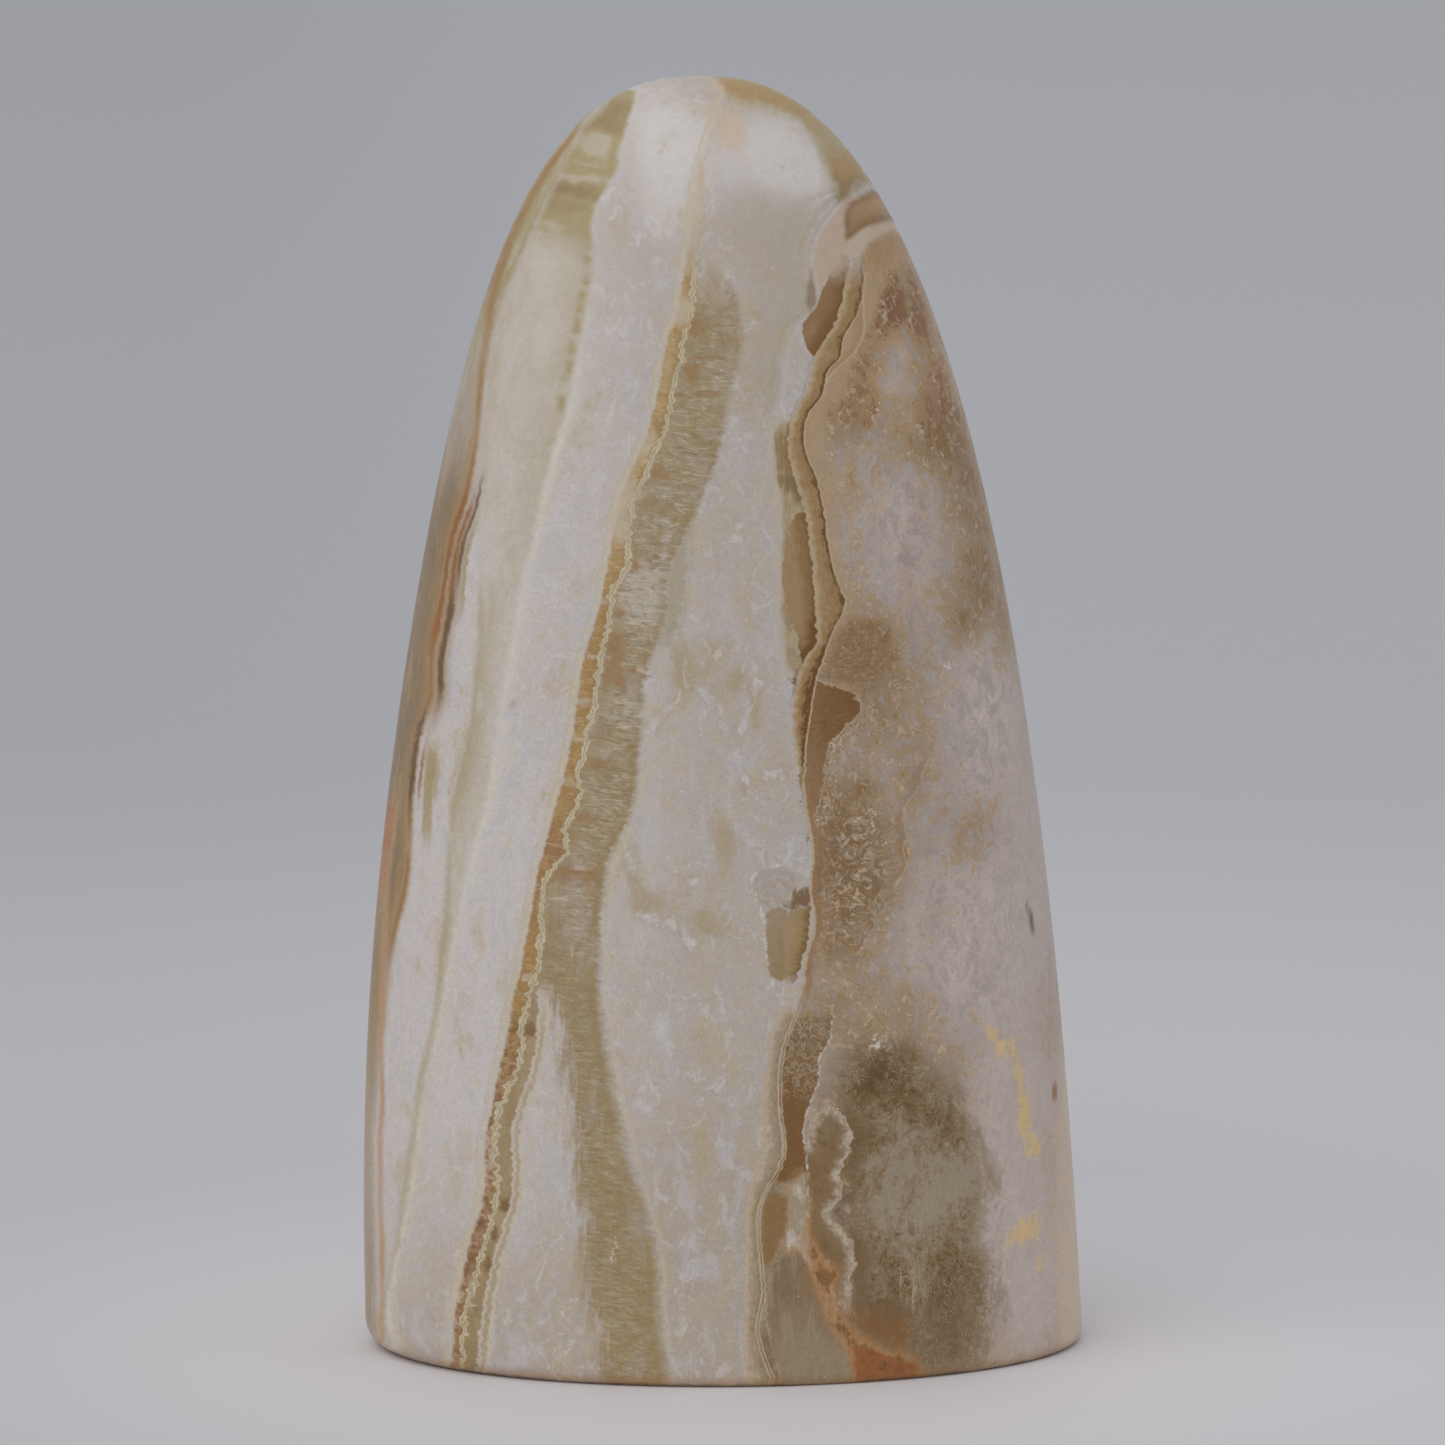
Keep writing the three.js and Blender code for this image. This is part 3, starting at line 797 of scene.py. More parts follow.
# The left end: soft tan and taupe layers, olive ones near the top, a thin ochre line that turns rusty at
# mid height with short rusty, dark and olive dashes along it, and an orange-tan line at the very edge.
flank = near("flank_line", times(small, 0.4))
streaks = noise(stretch(place, 0.9, 0.9, 0.02), 0.9, 3, 0.6)
fade = rise(z, 30, 44)
outer = coats(
    "flank_beige",
    (streaks, 0.42, 0.56, 1, "flank_taupe"),
    (streaks, 0.54, 0.66, 0.8, "flank_tan"),
)
outer = layer(times(line(z, 82, 4, 7), rise(streaks, 0.5, 0.4), 0.6), outer, "flank_dark")
outer = layer(times(line(flank, -1, 0.3, 0.5), rise(mid, 0.35, 0.6)), outer, "flank_taupe")
outer = layer(times(line(flank, -0.35, 0.2, 0.4), 0.6), outer, "flank_tan")
colour = layer(times(rise(flank, 0.1, -0.4), rise(z, 24, 36), rise(z, 97, 86, 0.6, 1)), colour, outer)
beside = times(line(flank, 0.6, 0.6, 0.6), rise(z, 62, 70), rise(z, 92, 82, 0.2, 1))
colour = layer(
    times(beside, 0.85), colour, layer(rise(streaks, 0.42, 0.56), "flank_ochre", "flank_tan")
)
rows = put("ShaderNodeCombineXYZ", {0: value("pale_left"), 2: times(level, 0.05)}).outputs[0]
stripes = noise(rows, 0.9, 4, 0.6)
top = coats(
    "top_brown",
    (stripes, 0.36, 0.48, 1, "top_olive"),
    (stripes, 0.52, 0.62, 1, "pale_band_green"),
)
top = layer(rise(value("pale_left"), -1.4, -2.4, 0, 0.8), top, "top_brown")
upper = times(rise(near("pale_left"), 0.3, -0.4), rise(z, 97, 106), 0.9)
colour = layer(upper, colour, top)
patchy = noise(stretch(place, 0.3, 0.3, 1), 0.13, 1)
ochre = times(line(flank, 0, 0.16, 0.3), fade, rise(patchy, 0.35, 0.55, 0.6, 1))
colour = layer(ochre, colour, "flank_ochre")
ragged = add(flank, sway(mid, 0.6), sway(grain, 0.4))
for away, half, start, end, name in (
    (0, 0.2, 90, 72, "flank_rust"), (0.6, 0.14, 89, 77, "flank_rust"),
    (0.6, 0.12, 64, 57, "flank_rust"), (0.7, 0.2, 80, 67, "flank_dark"),
    (1, 0.14, 91, 79, "flank_dark"), (0, 0.16, 68, 56, "flank_dark"), (1.45, 0.15, 87, 76, "top_olive"),
    (1.3, 0.35, 64, 53, "top_olive"),
):
    tapered = times(rise(z, start + 1, start - 3), rise(z, end - 1, end + 3), 0.85)
    colour = layer(times(line(ragged, away, half, 0.14), tapered), colour, name)
rim = near("rim_line", times(small, 0.4))
back = times(rise(rim, 0.1, -0.4), rise(z, 60, 50), 0.8)
colour = layer(back, colour, outer)
warm = times(
    line(rim, rise(z, 34, 24, 0, 0.25), 0.1, 0.24), rise(z, 60, 54), rise(mid, 0.3, 0.6, 0.5, 0.9)
)
colour = layer(warm, colour, "orange_tan")
red = times(rise(rim, 0.05, -0.15), rise(z, 58, 55), rise(z, 46, 49), 0.8)
colour = layer(red, colour, "flank_red")

# Fibrous olive band right of the seam: ragged ochre blocks beside the seam, fine wavy fibres that fall
# slightly to the right, and a darker right side. It forks low down round a wedge of white into a wide
# branch with a soft streaky left side and a narrow one beside the seam.
wavy = add(small, sway(grain, 0.5), sway(threads, 0.9))
edge = near("olive_right", wavy)
soft = rise(z, 44, 30, 0.42, 0.9)
body = times(rise(edge, soft, times(soft, -1)), rise(seam, 0.1, 0.35))
streaky = add(sway(upright, 4.5), sway(mid, 2))
branch = times(rise(near("wedge", streaky), -1, 1.4), rise(add(seam, wavy), 0.9, 1.5))
body = times(body, layer_share(rise(z, 41.5, 39), 1, branch))
olive = coats(
    "olive",
    (bundle, 0.38, 0.62, 1, "low_olive"),
    (mid, 0.46, 0.7, 0.7, "olive_grey"),
    (mottle, 0.5, 0.64, 0.8, "olive_brown"),
    (mottle, 0.47, 0.36, 0.6, "olive_grey"),
)
away = times(rise(seam, 0.3, 2.2, 0.4, 0.85), rise(z, 112, 94, 0.45, 1))
olive = layer(times(rise(threads, 0.52, 0.63), away), olive, "thread")
olive = layer(times(rise(threads, 0.47, 0.38), away, 0.9), olive, "deep_olive")
olive = layer(rise(z, 48, 43, 0, 0.45), olive, "olive_brown")
frosting = add(value("frosting"), sway(grain, 1))
olive = layer(rise(frosting, 0.35, 0.95, 0, 0.6), olive, "frosted")
olive = layer(times(rise(frosting, 0.3, 0.8), rise(threads, 0.5, 0.6), 0.9), olive, "thread")
olive = layer(times(rise(frosting, 0.3, 0.8), rise(threads, 0.44, 0.36), 0.8), olive, "deep_olive")
blocks = add(value("smooth_blocks"), sway(mottle, 2.6), sway(threads, 1.6))
olive = layer(rise(blocks, 0.3, 0.8, 0, 0.85), olive, "ochre_brown")
olive = layer(
    times(line(edge, -0.5, 0.35, 0.5), rise(mid, 0.35, 0.6, 0.2, 0.7), rise(z, 104, 94)), olive,
    "olive_brown",
)
faded = times(rise(add(z, sway(mid, 8)), 116, 106), rise(mid, 0.3, 0.5, 0.7, 0.95))
colour = layer(times(body, faded), colour, olive)
second = near("second_olive", wavy)
here = times(line(second, 0.4, 0.12, 0.3), rise(z, 95, 90), rise(z, 70, 75), 0.5)
colour = layer(here, colour, "olive_line")
beyond = times(rise(second, 0.3, -0.3), rise(edge, -0.2, 0.3), rise(z, 92, 88), rise(z, 73, 76), 0.75)
colour = layer(beyond, colour, "olive_grey")
pale_edge = times(line(edge, 0.7, 0.15, 0.4), rise(z, 72, 64), mid, 0.8)
colour = layer(pale_edge, colour, "fringe")

# Ochre layer left of the seam: smooth, darker towards the seam, faint in places, rusty below the middle
# and broken and rose-brown near the foot, with a soft cream fringe and a thin broken cream line on its
# left.
edge = near("ochre", add(rippled, sway(grain, 0.4)))
lamina = times(rise(edge, -0.15, 0.2), rise(seam, -0.1, -0.3))
uneven = add(z, sway(broad, 10))
ochre = coats(
    "ochre_light",
    (uneven, 88, 78, 1, "ochre"),
    (uneven, 60, 54, 1, "rust_ochre"),
    (uneven, 50, 45, 1, "ochre"),
    (uneven, 36, 28, 1, "rose_brown"),
    (seam, -0.9, -0.3, 0.45, "ochre_brown"),
    (mottle, 0.5, 0.64, 0.55, "ochre_light"),
    (mottle, 0.46, 0.36, 0.6, "ochre_brown"),
    (threads, 0.54, 0.66, 0.5, "fringe"),
    (threads, 0.46, 0.37, 0.6, "ochre_brown"),
)
gaps = add(value("ochre_gaps"), sway(mid, 0.9), sway(grain, 0.4))
ochre = layer(rise(gaps, 0.25, 0.8, 0, 0.85), ochre, "ochre_faint")
broken = times(rise(z, 40, 34), rise(grain, 0.46, 0.6))
ochre = layer(times(broken, 0.7), ochre, "rust")
ochre = layer(times(rise(z, 40, 34), rise(grain, 0.42, 0.32), 0.6), ochre, "fringe")
fringe = times(line(edge, -0.35, 0.3, 0.35), rise(mid, 0.3, 0.6, 0.35, 0.85))
colour = layer(fringe, colour, "fringe")
crest = times(line(edge, -0.65, 0.05, 0.12), rise(grain, 0.42, 0.56), 0.75)
colour = layer(crest, colour, "cream")
colour = layer(times(lamina, rise(z, 118, 111, 0.3, 1)), colour, ochre)

# Narrow olive-brown lane on the right of the seam below the fork, blotched, with a fine line on its
# right.
lane = near("low_lane", toothed)
inside = times(rise(lane, 0.12, -0.15), rise(seam, 0.1, 0.3), rise(z, 42, 40))
tone = coats(
    "olive_brown",
    (mid, 0.4, 0.62, 1, "olive"),
    (grain, 0.5, 0.64, 0.5, "ochre_brown"),
)
colour = layer(times(inside, 0.9), colour, tone)
spots = add(value("dark_spots"), sway(grain, 1))
colour = layer(rise(spots, 0.25, 0.85, 0, 0.85), colour, "dark_spot")
below = rise(z, 41, 36, 0, 0.8)
colour = layer(times(line(lane, 0.5, 0.3, 0.3), below, 0.7), colour, "between_lines")
colour = layer(times(line(lane, 0.15, 0.07, 0.12), below), colour, "fringe")
colour = layer(times(line(lane, 0.85, 0.06, 0.2), below), colour, "line")

# Thin pale and brown threads that cross the band and the ochre layer.
wave = add(sway(mid, 0.9), sway(grain, 0.3))
brown = rise(add(value("brown_threads"), wave), 0.3, 0.05, 0, 0.7)
colour = layer(brown, colour, "thread_brown")
pale = rise(add(value("pale_threads"), wave), 0.2, 0.03, 0, 0.8)
colour = layer(pale, colour, "thread")

# Two fine crinkled cream lines side by side, with tan between and around them.
faint = rise(z, 119, 107, 0.15, 1)
colour = layer(times(line(seam, 0, 0.32, 0.2), faint, 0.7), colour, "between_lines")
strong = times(faint, rise(grain, 0.35, 0.55, 0.5, 1))
colour = layer(times(line(seam, -0.15, 0.07, 0.08), strong), colour, "line")
colour = layer(times(line(seam, 0.15, 0.07, 0.08), strong), colour, "line")

# The grey pane and its thin white edge left of the strips, and pale curved layers over their top.
pane = layer(rise(add(near("strip_left"), sway(mottle, 3)), -3, -0.6), "pane", "inner_pale")
pane = layer(rise(mottle, 0.52, 0.64, 0, 0.5), pane, "milk")
colour = layer(times(within("grey_pane", serration, 0.4), 0.45), colour, pane)
edge = near("pane_line", times(serration, 0.7))
colour = layer(times(rise(edge, 0.3, 0.05), rise(grain, 0.4, 0.6, 0.1, 0.75)), colour, "milk")
arc = near("pale_arc")
above = rise(z, 94, 99)
rows = put("ShaderNodeCombineXYZ", {0: value("pale_arc"), 2: times(level, 0.1)}).outputs[0]
curved = noise(rows, 0.6, 2)
near_arc = times(rise(arc, -8, -2.5), rise(arc, 0, -0.2), above)
colour = layer(times(near_arc, rise(curved, 0.42, 0.62), 0.85), colour, "band_grey")
colour = layer(times(line(value("pale_arc"), -1.4, 0.1, 0.5), above, mid, 0.8), colour, "green_olive")
colour = layer(times(within("sliver", None, 0.3), 0.8), colour, "sliver")
leaf = layer(rise(add(arc, sway(mid, 1)), 2.6, 4), "peach_leaf", "leaf_tan")
leaf = layer(rise(mottle, 0.5, 0.66, 0, 0.5), leaf, "streak_pale")
colour = layer(within("peach_leaf", small, 0.3), colour, leaf)
colour = layer(times(line(arc, 0, 0.1, 0.4), above, 0.45), colour, "warm_white")

# Sugary crystal right of the strips: ash white and tan, with browner clouds, pale lace and flecks,
# and a painted sheen of pale cream along the right edge low down.
right = near("strip_right")
inside = rise(right, -0.05, 0.15)
coarse = noise(place, 0.16, 4, 0.6, 0.8)
feather = noise(place, 1.1, 4, 0.7, 0.8)
side = add(along(place, (1, 0, -0.1)), sway(mid, 8))
patchy = add(sway(coarse, 1.2), sway(mottle, 4.4), sway(feather, 2))
patchy = times(patchy, rise(side, 20, 27, 1, 0.35))
share = add(value("brownness"), patchy, times(value("whiteness"), -0.9), 0.1)
ground = coats(
    "ash",
    (mid, 0.38, 0.62, 1, "pink_ash"),
    (side, 12, 20, 0.8, "far_ash"),
    (feather, 0.46, 0.34, 0.6, "warm_white"),
)
tan = layer(rise(z, 92, 100), "mush_tan", "warm_tan")
brown = layer(rise(z, 92, 100), "mush_brown", "red_brown")
mush = layer(rise(share, -0.3, 0.55), ground, tan)
mush = layer(rise(share, 0.55, 1.3), mush, brown)
mush = layer(times(rise(feather, 0.47, 0.38), rise(share, 0.5, 1.4), 0.6), mush, "umber")
lacy = times(rise(feather, 0.54, 0.64), rise(share, 0, 0.8, 0.1, 0.6))
mush = layer(lacy, mush, "lace")
swirl = noise(stretch(place, 0.6, 1, 1.1), 0.8, 4, 0.65, 2.8)
fibrous = times(value("fibrous"), 0.75)
mush = layer(times(fibrous, rise(swirl, 0.5, 0.6)), mush, "lace")
mush = layer(times(fibrous, rise(swirl, 0.47, 0.38)), mush, "deep_olive")
beside = times(
    rise(add(right, sway(mid, 3), sway(feather, 3)), 1.7, 0), rise(z, 36, 42), rise(z, 70, 64), 0.75
)
mush = layer(beside, mush, "leaf_brown")
mush = layer(times(flecks, rise(mottle, 0.5, 0.62), rise(z, 80, 64, 0.15, 0.6)), mush, "fleck_and_glint")
zone = near("zone_edge", add(small, sway(mottle, 1.6)))
here = times(rise(z, 39, 45), rise(z, 66, 60), rise(mid, 0.3, 0.5, 0.3, 1))
mush = layer(times(rise(zone, -2, -0.1), rise(zone, 0.1, 0), here, 0.4), mush, "mush_brown")
mush = layer(times(line(zone, 0.05, 0.05, 0.1), here, 0.6), mush, "lace")
sugary = add(rise(mottle, 0.36, 0.64, -0.13, 0.09), rise(feather, 0.36, 0.64, 0.92, 1.06))
mush = shade(mush, layer_share(rise(side, 20, 27), sugary, 1))
# painted sheen: pale cream along the right edge low down
margin = add(value("margin"), sway(mottle, 1))
mush = layer(rise(margin, 0.2, 0.9, 0, 0.65), mush, "margin")
colour = layer(inside, colour, mush)

# Clear crystal low on the right, dark where it is deep and cloudy grey elsewhere, with sprays of
# needles. Its right side fades away raggedly.
ragged = add(sway(mid, 6), sway(mottle, 9), sway(feather, 4))
cover = near("crystal", ragged)
gloom = add(value("gloom"), sway(mid, 2.2), sway(mottle, 5.4), sway(feather, 3), sway(swirl, 2), 0.1)
dark = coats(
    "glass_pale",
    (gloom, -0.75, 0, 1, "glass"),
    (gloom, -0.1, 0.5, 1, "brown"),
    (gloom, 0.35, 0.9, 1, "dark"),
    (gloom, 0.85, 1.4, 1, "deep"),
    (z, 12, 4, 0.45, "low_taupe"),
)

# Sprays of needles: streaks that run out from the middle of each spray and fade.
ray = put("ShaderNodeCombineXYZ", {k: value("spray_" + c) for k, c in enumerate("xyz")}).outputs[0]
streaks = noise(ray, 5, 3, 0.7)
reach = add(value("spray_reach"), sway(grain, 1.2))
needles = times(rise(streaks, 0.5, 0.62), rise(reach, 1.8, 0.6))
dark = layer(times(needles, 0.7), dark, "needle")
filaments = times(line(feather, 0.54, 0.008, 0.03), rise(mid, 0.4, 0.6))
dark = layer(times(filaments, 0.8), dark, "needle")
fibres = times(value("white_fibres"), rise(upright, 0.52, 0.66))
dark = layer(times(fibres, 0.6), dark, "lace")
rim = rise(add(value("frost"), sway(mottle, 2.5)), 2.2, 0.2, 0, 0.8)
dark = layer(rim, dark, "dark")
side = rise(near("crystal_line"), -0.05, 0.2)
colour = layer(times(rise(cover, 1.4, -3), side), colour, dark)

# Smooth taupe leaves at the foot, the toothed frost along them, the white spike and the orange vein.
soft = sway(mottle, 2.4)
right, crystal_line = near("strip_right"), near("crystal_line", serration)
foot = times(
    rise(right, 0.1, 0.3), rise(crystal_line, 0.05, -0.05), rise(z, 20.3, 21.3),
    rise(add(z, soft), 38.2, 36.8),
)
depth = add(
    rise(z, 36, 28, 0.25, 1.2), sway(mottle, 3.6), rise(right, 2.4, 0.6, 0, 0.3), sway(feather, 1.2)
)
tone = coats(
    "glass",
    (depth, 0, 0.5, 1, "inner"),
    (depth, 0.6, 1.3, 1, "leaf_mid"),
)
curls = times(line(feather, 0.5, 0.012, 0.04), rise(z, 28, 31))
tone = layer(times(curls, 0.5), tone, "lace")
colour = layer(foot, colour, tone)
ground = layer(rise(mottle, 0.42, 0.58), "low_pale", "low_taupe")
colour = layer(times(within("foot_ground", soft, 0.3), rise(right, 0, 0.2)), colour, ground)
leaf = layer(rise(add(value("frost"), soft), 0.6, 2.6), "inner_pale", "inner")
leaf = coats(
    leaf,
    (mottle, 0.52, 0.66, 0.6, "inner_pale"),
    (mottle, 0.46, 0.36, 0.6, "leaf_dark"),
)
inner = near("inner_leaf", add(serration, sway(grain, 1.2), sway(feather, 0.8)))
colour = layer(rise(inner, 0.1, -0.1), colour, leaf)
low = near("low_leaf", serration)
grey = coats(
    "low_taupe",
    (mottle, 0.4, 0.6, 1, "inner_pale"),
    (upright, 0.5, 0.66, 0.6, "low_pale"),
    (z, 11, 2, 0.6, "low_pale"),
)
grey = layer(times(flecks, rise(mid, 0.45, 0.6), 0.6), grey, "fleck_and_glint")
colour = layer(times(line(low, 0.15, 0.08, 0.16), rise(mid, 0.3, 0.6, 0, 0.4)), colour, "strip_line")
colour = layer(rise(low, 0.15, -0.35), colour, grey)
crystals = times(
    line(crystal_line, 0.1, 0.05, 0.15), rise(z, 15, 17), rise(z, 39, 37), rise(grain, 0.42, 0.6)
)
colour = layer(times(crystals, 0.7), colour, "fleck_and_glint")
frosted = times(rise(value("frost"), 1.5, 0.9), rise(inner, 0.06, -0.06))
frosting = layer(rise(grain, 0.4, 0.6), "frost", "lace")
hook = rise(z, 5.5, 8.5, 0.4, 1)
colour = layer(times(rise(inner, -1.3, -0.1, 0, 0.9), frosted, hook), colour, frosting)
amber = add(value("amber"), sway(mottle, 6))
colour = layer(rise(amber, 1.2, -1.2, 0, 0.9), colour, "amber")
streaks = add(sway(upright, 1.6), sway(mottle, 2.5))
vein = near("vein", add(serration, streaks))
orange = layer(rise(upright, 0.42, 0.6, 0, 0.6), "orange", "spike_orange")
orange = layer(rise(add(vein, sway(mottle, 2)), -0.4, -0.9, 0, 0.9), orange, "vein_brown")
depth = add(sway(mottle, 3), rise(z, 5, 0.5), rise(near("vein"), 0, -1.5, -0.4))
orange = layer(rise(depth, 0.1, 0.9, 0, 0.9), orange, "red_orange")
spots = times(rise(grain, 0.5, 0.6), rise(z, 4.5, 3), rise(vein, -0.5, -1.2))
orange = layer(times(spots, 0.9), orange, "purple_brown")
colour = coats(
    colour,
    (vein, 0.9, 0, 0.35, "orange"),
    (vein, 0.45, -0.45, 0.9, orange),
)
spike = near("spike", add(serration, streaks))
colour = layer(rise(spike, 0.9, 0, 0, 0.5), colour, "spike_orange")
white = layer(rise(mottle, 0.4, 0.6), "needle", "warm_white")
colour = layer(rise(spike, 0.2, -0.5, 0, 0.85), colour, white)

# Flat tan strips, pale and toothed along their left edge and darkest at the right, where a fine cream
# line runs, and the smooth leaves that lie against them. Below they thin out to that one line.
left, right = near("strip_left", toothed), near("strip_right", rippled)
beside = rise(left, 0.04, -0.04)
wash = add(sway(mottle, 1.6), sway(mid, 0.8))
halo = layer(rise(mottle, 0.42, 0.6), "halo", "streak_pale")
streaked = layer(
    rise(add(upright, rise(left, -2.5, 0, -0.05, 0.08)), 0.43, 0.56), "streak_pale", "streak_dark"
)
halo = layer(rise(add(z, sway(mid, 2)), 87.5, 90), halo, streaked)
edge = near("halo", sway(mid, 1.6))
colour = layer(times(rise(edge, 1.2, -0.2), beside, 0.8), colour, "halo_pale")
colour = layer(times(rise(edge, 0.1, -0.5), beside), colour, halo)
lens = layer(rise(add(left, wash), -1.9, -0.7), "lens_pale", "lens")
depth = add(rise(left, -1.3, 0), rise(z, 82, 71, -0.3, 0.9), wash)
lens = layer(rise(depth, 0.3, 1.3), lens, "lens_dark")
colour = layer(times(within("lens", toothed, 0.1), beside), colour, lens)
colour = layer(
    times(within("dark_bits", sway(mottle, 5), 0.4), beside, rise(z, 76, 70, 0.6, 0.95)), colour,
    "dark_bit",
)

fine_rows = times(rise(fibre, 0.4, 0.62), 0.35)
olive = layer(rise(add(left, wash), -3.6, -2.2), "halo", "olive_leaf")
olive = layer(rise(z, 46, 46.8), olive, "taupe")
olive = layer(fine_rows, olive, "gold_pale")
colour = layer(times(within("olive_leaf", sway(grain, 1), 0.15), beside), colour, olive)
gold = layer(rise(add(left, wash), -1.9, -1), "gold_pale", "gold")
gold = layer(rise(left, -1.1, -0.1), gold, "gold_dark")
gold = layer(fine_rows, gold, "gold_pale")
ends = rise(add(z, sway(mottle, 8)), 39.5, 42)
colour = layer(times(within("gold_leaf", toothed, 0.15), beside, ends), colour, gold)
uneven = add(z, sway(mid, 3), sway(mottle, 4))
brown = layer(rise(add(left, sway(mid, 2)), -3.2, -0.4), "leaf_top", "leaf_mid")
brown = layer(rise(uneven, 109, 112, 0, 0.8), brown, "peach_leaf")
brown = layer(rise(add(near("pale_arc"), sway(mid, 2)), 2, 0.4, 0, 0.8), brown, "leaf_brown")
colour = layer(times(within("dark_leaf", small), beside), colour, brown)
little = layer(rise(mottle, 0.42, 0.6), "lens", "leaf_brown")
colour = layer(within("small_leaf", add(small, sway(grain, 0.8)), 0.3), colour, little)

top = rise(z, 113, 109)
shown = times(add(rise(z, 56, 61), rise(z, 39, 37)), top)
low = rise(z, 40, 38)
share = calc("DIVIDE", left, calc("MAXIMUM", calc("SUBTRACT", left, right), 0.3))
rows = put("ShaderNodeCombineXYZ", {0: value("strip_share"), 2: times(level, 0.25)}).outputs[0]
laminae = noise(rows, 4.8, 3, 0.6)
tone = add(share, sway(laminae, 1.3), sway(mottle, 1.2), times(rise(z, 77, 70), rise(z, 58, 62), 0.35))
strip = coats(
    "strip_pale",
    (tone, 0, 0.6, 1, "strip_tan"),
    (tone, 0.72, 1.1, 1, "strip_dark"),
)
olive_strip = coats(
    "halo_pale",
    (tone, 0.05, 0.6, 1, "band_olive"),
    (tone, 0.6, 1.1, 0.7, "band_dark"),
)
strip = layer(low, strip, olive_strip)
between = times(rise(left, -0.04, 0.08), rise(right, 0.06, -0.04))
colour = layer(times(between, shown, rise(low, 0, 1, 1, 0.8)), colour, strip)

reach = add(right, sway(mid, 2.5), sway(mottle, 5), rise(z, 84, 92, 0.9, -0.6))
beyond = times(rise(reach, 2.6, 0.6), rise(right, 0, 0.1), rise(z, 71, 75), top)
colour = layer(times(beyond, 0.85), colour, "beyond")
second = near("second_strip", rippled)
upper = times(rise(z, 98.5, 99.5), rise(z, 112.5, 110.5))
tan = layer(rise(second, -1.6, -0.2), "beyond", "leaf_tan")
colour = layer(times(rise(right, 0, 0.1), rise(second, 0.1, -0.05), upper), colour, tan)
colour = layer(times(line(second, 0.02, 0.07, 0.2), upper, 0.6), colour, "lace")

past = rise(right, 0.08, 0.16)
folds = layer(rise(swirl, 0.4, 0.6), "leaf_brown", "mush_brown")
folds = layer(times(line(swirl, 0.55, 0.01, 0.03), 0.6), folds, "lace")
colour = layer(times(within("brown_leaf", sway(mottle, 7), 1), past, 0.8), colour, folds)
wedge = near("wedge_leaf", add(serration, sway(mottle, 2)))
depth = add(z, times(right, 0.8), sway(mottle, 9))
inner = coats(
    "leaf_brown",
    (depth, 61, 69, 1, "leaf_mid"),
    (depth, 71, 74.5, 1, "leaf_dark"),
)
inner = layer(rise(add(right, sway(mottle, 2)), 1.9, 0.7, 0, 0.35), inner, "leaf_brown")
inner = layer(times(line(swirl, 0.55, 0.01, 0.03), 0.12), inner, "lace")
lower = times(rise(z, 68, 66), rise(feather, 0.42, 0.54, 0.2, 0.9))
for far, name in ((1.6, "lace"), (1.2, "leaf_brown"), (0.8, "lace"), (0.4, "leaf_mid")):
    ruffle = add(wedge, sway(mottle, 3), sway(feather, 1))
    colour = layer(times(line(ruffle, far, 0.08, 0.16), past, lower, 0.8), colour, name)
colour = layer(times(line(wedge, 0.1, 0.05, 0.12), past, rise(mid, 0.35, 0.6), 0.6), colour, "lace")
colour = layer(times(rise(wedge, 0.08, -0.12), past), colour, inner)

serrated = rise(grain, 0.35, 0.55, 0.35, 0.9)
edge_shown = times(serrated, shown)
colour = layer(times(line(left, -0.22, 0.05, 0.25), shown, rise(z, 66, 70), 0.25), colour, "edge_dark")
colour = layer(times(line(left, 0.22, 0.16, 0.3), edge_shown, 0.8), colour, "edge_cream")
colour = layer(times(line(left, 0.03, 0.05, 0.1), edge_shown, 0.5), colour, "halo_pale")
dark_side = times(line(right, -0.18, 0.06, 0.2), rise(mid, 0.35, 0.6, 0.4, 0.95), top)
specks = times(line(right, -0.35, 0.2, 0.3), rise(grain, 0.56, 0.62), rise(z, 74, 68), rise(z, 52, 57))
colour = layer(times(dark_side, rise(z, 56, 66)), colour, "edge_dark")
colour = layer(specks, colour, "dark_bit")
fine = times(rise(grain, 0.35, 0.55, 0.6, 1), top)
middle = times(rise(z, 64, 60), rise(z, 38, 41))
colour = layer(times(line(right, 0.45, 0.25, 0.4), middle, 0.7), colour, "gold_line")
colour = layer(times(line(right, 0.06, 0.06, 0.12), fine), colour, "strip_line")
colour = layer(times(line(right, 0.06, 0.12, 0.14), middle, 0.8), colour, "strip_line")
twin = times(line(right, 0.4, 0.04, 0.1), rise(z, 42, 38))
colour = layer(times(twin, fine), colour, "strip_line")

# The fan's upper leaves, at the right of the stone's top: brown, then a pale fold, then gold.
brown = layer(rise(z, 118, 115.5), "leaf_tan", "leaf_top")
brown = layer(rise(value("brown_top"), -1.4, 0.2), brown, "leaf_mid")
colour = layer(times(within("brown_top", small, 0.4), 0.85), colour, brown)
gold = layer(rise(value("gold_top"), -0.1, -1.6), "beyond", "leaf_tan")
gold = layer(rise(upright, 0.46, 0.6, 0, 0.5), gold, "leaf_top")
colour = layer(within("gold_top", small, 0.4), colour, gold)
colour = layer(times(within("fold", small, 0.35), 0.85), colour, "fold")
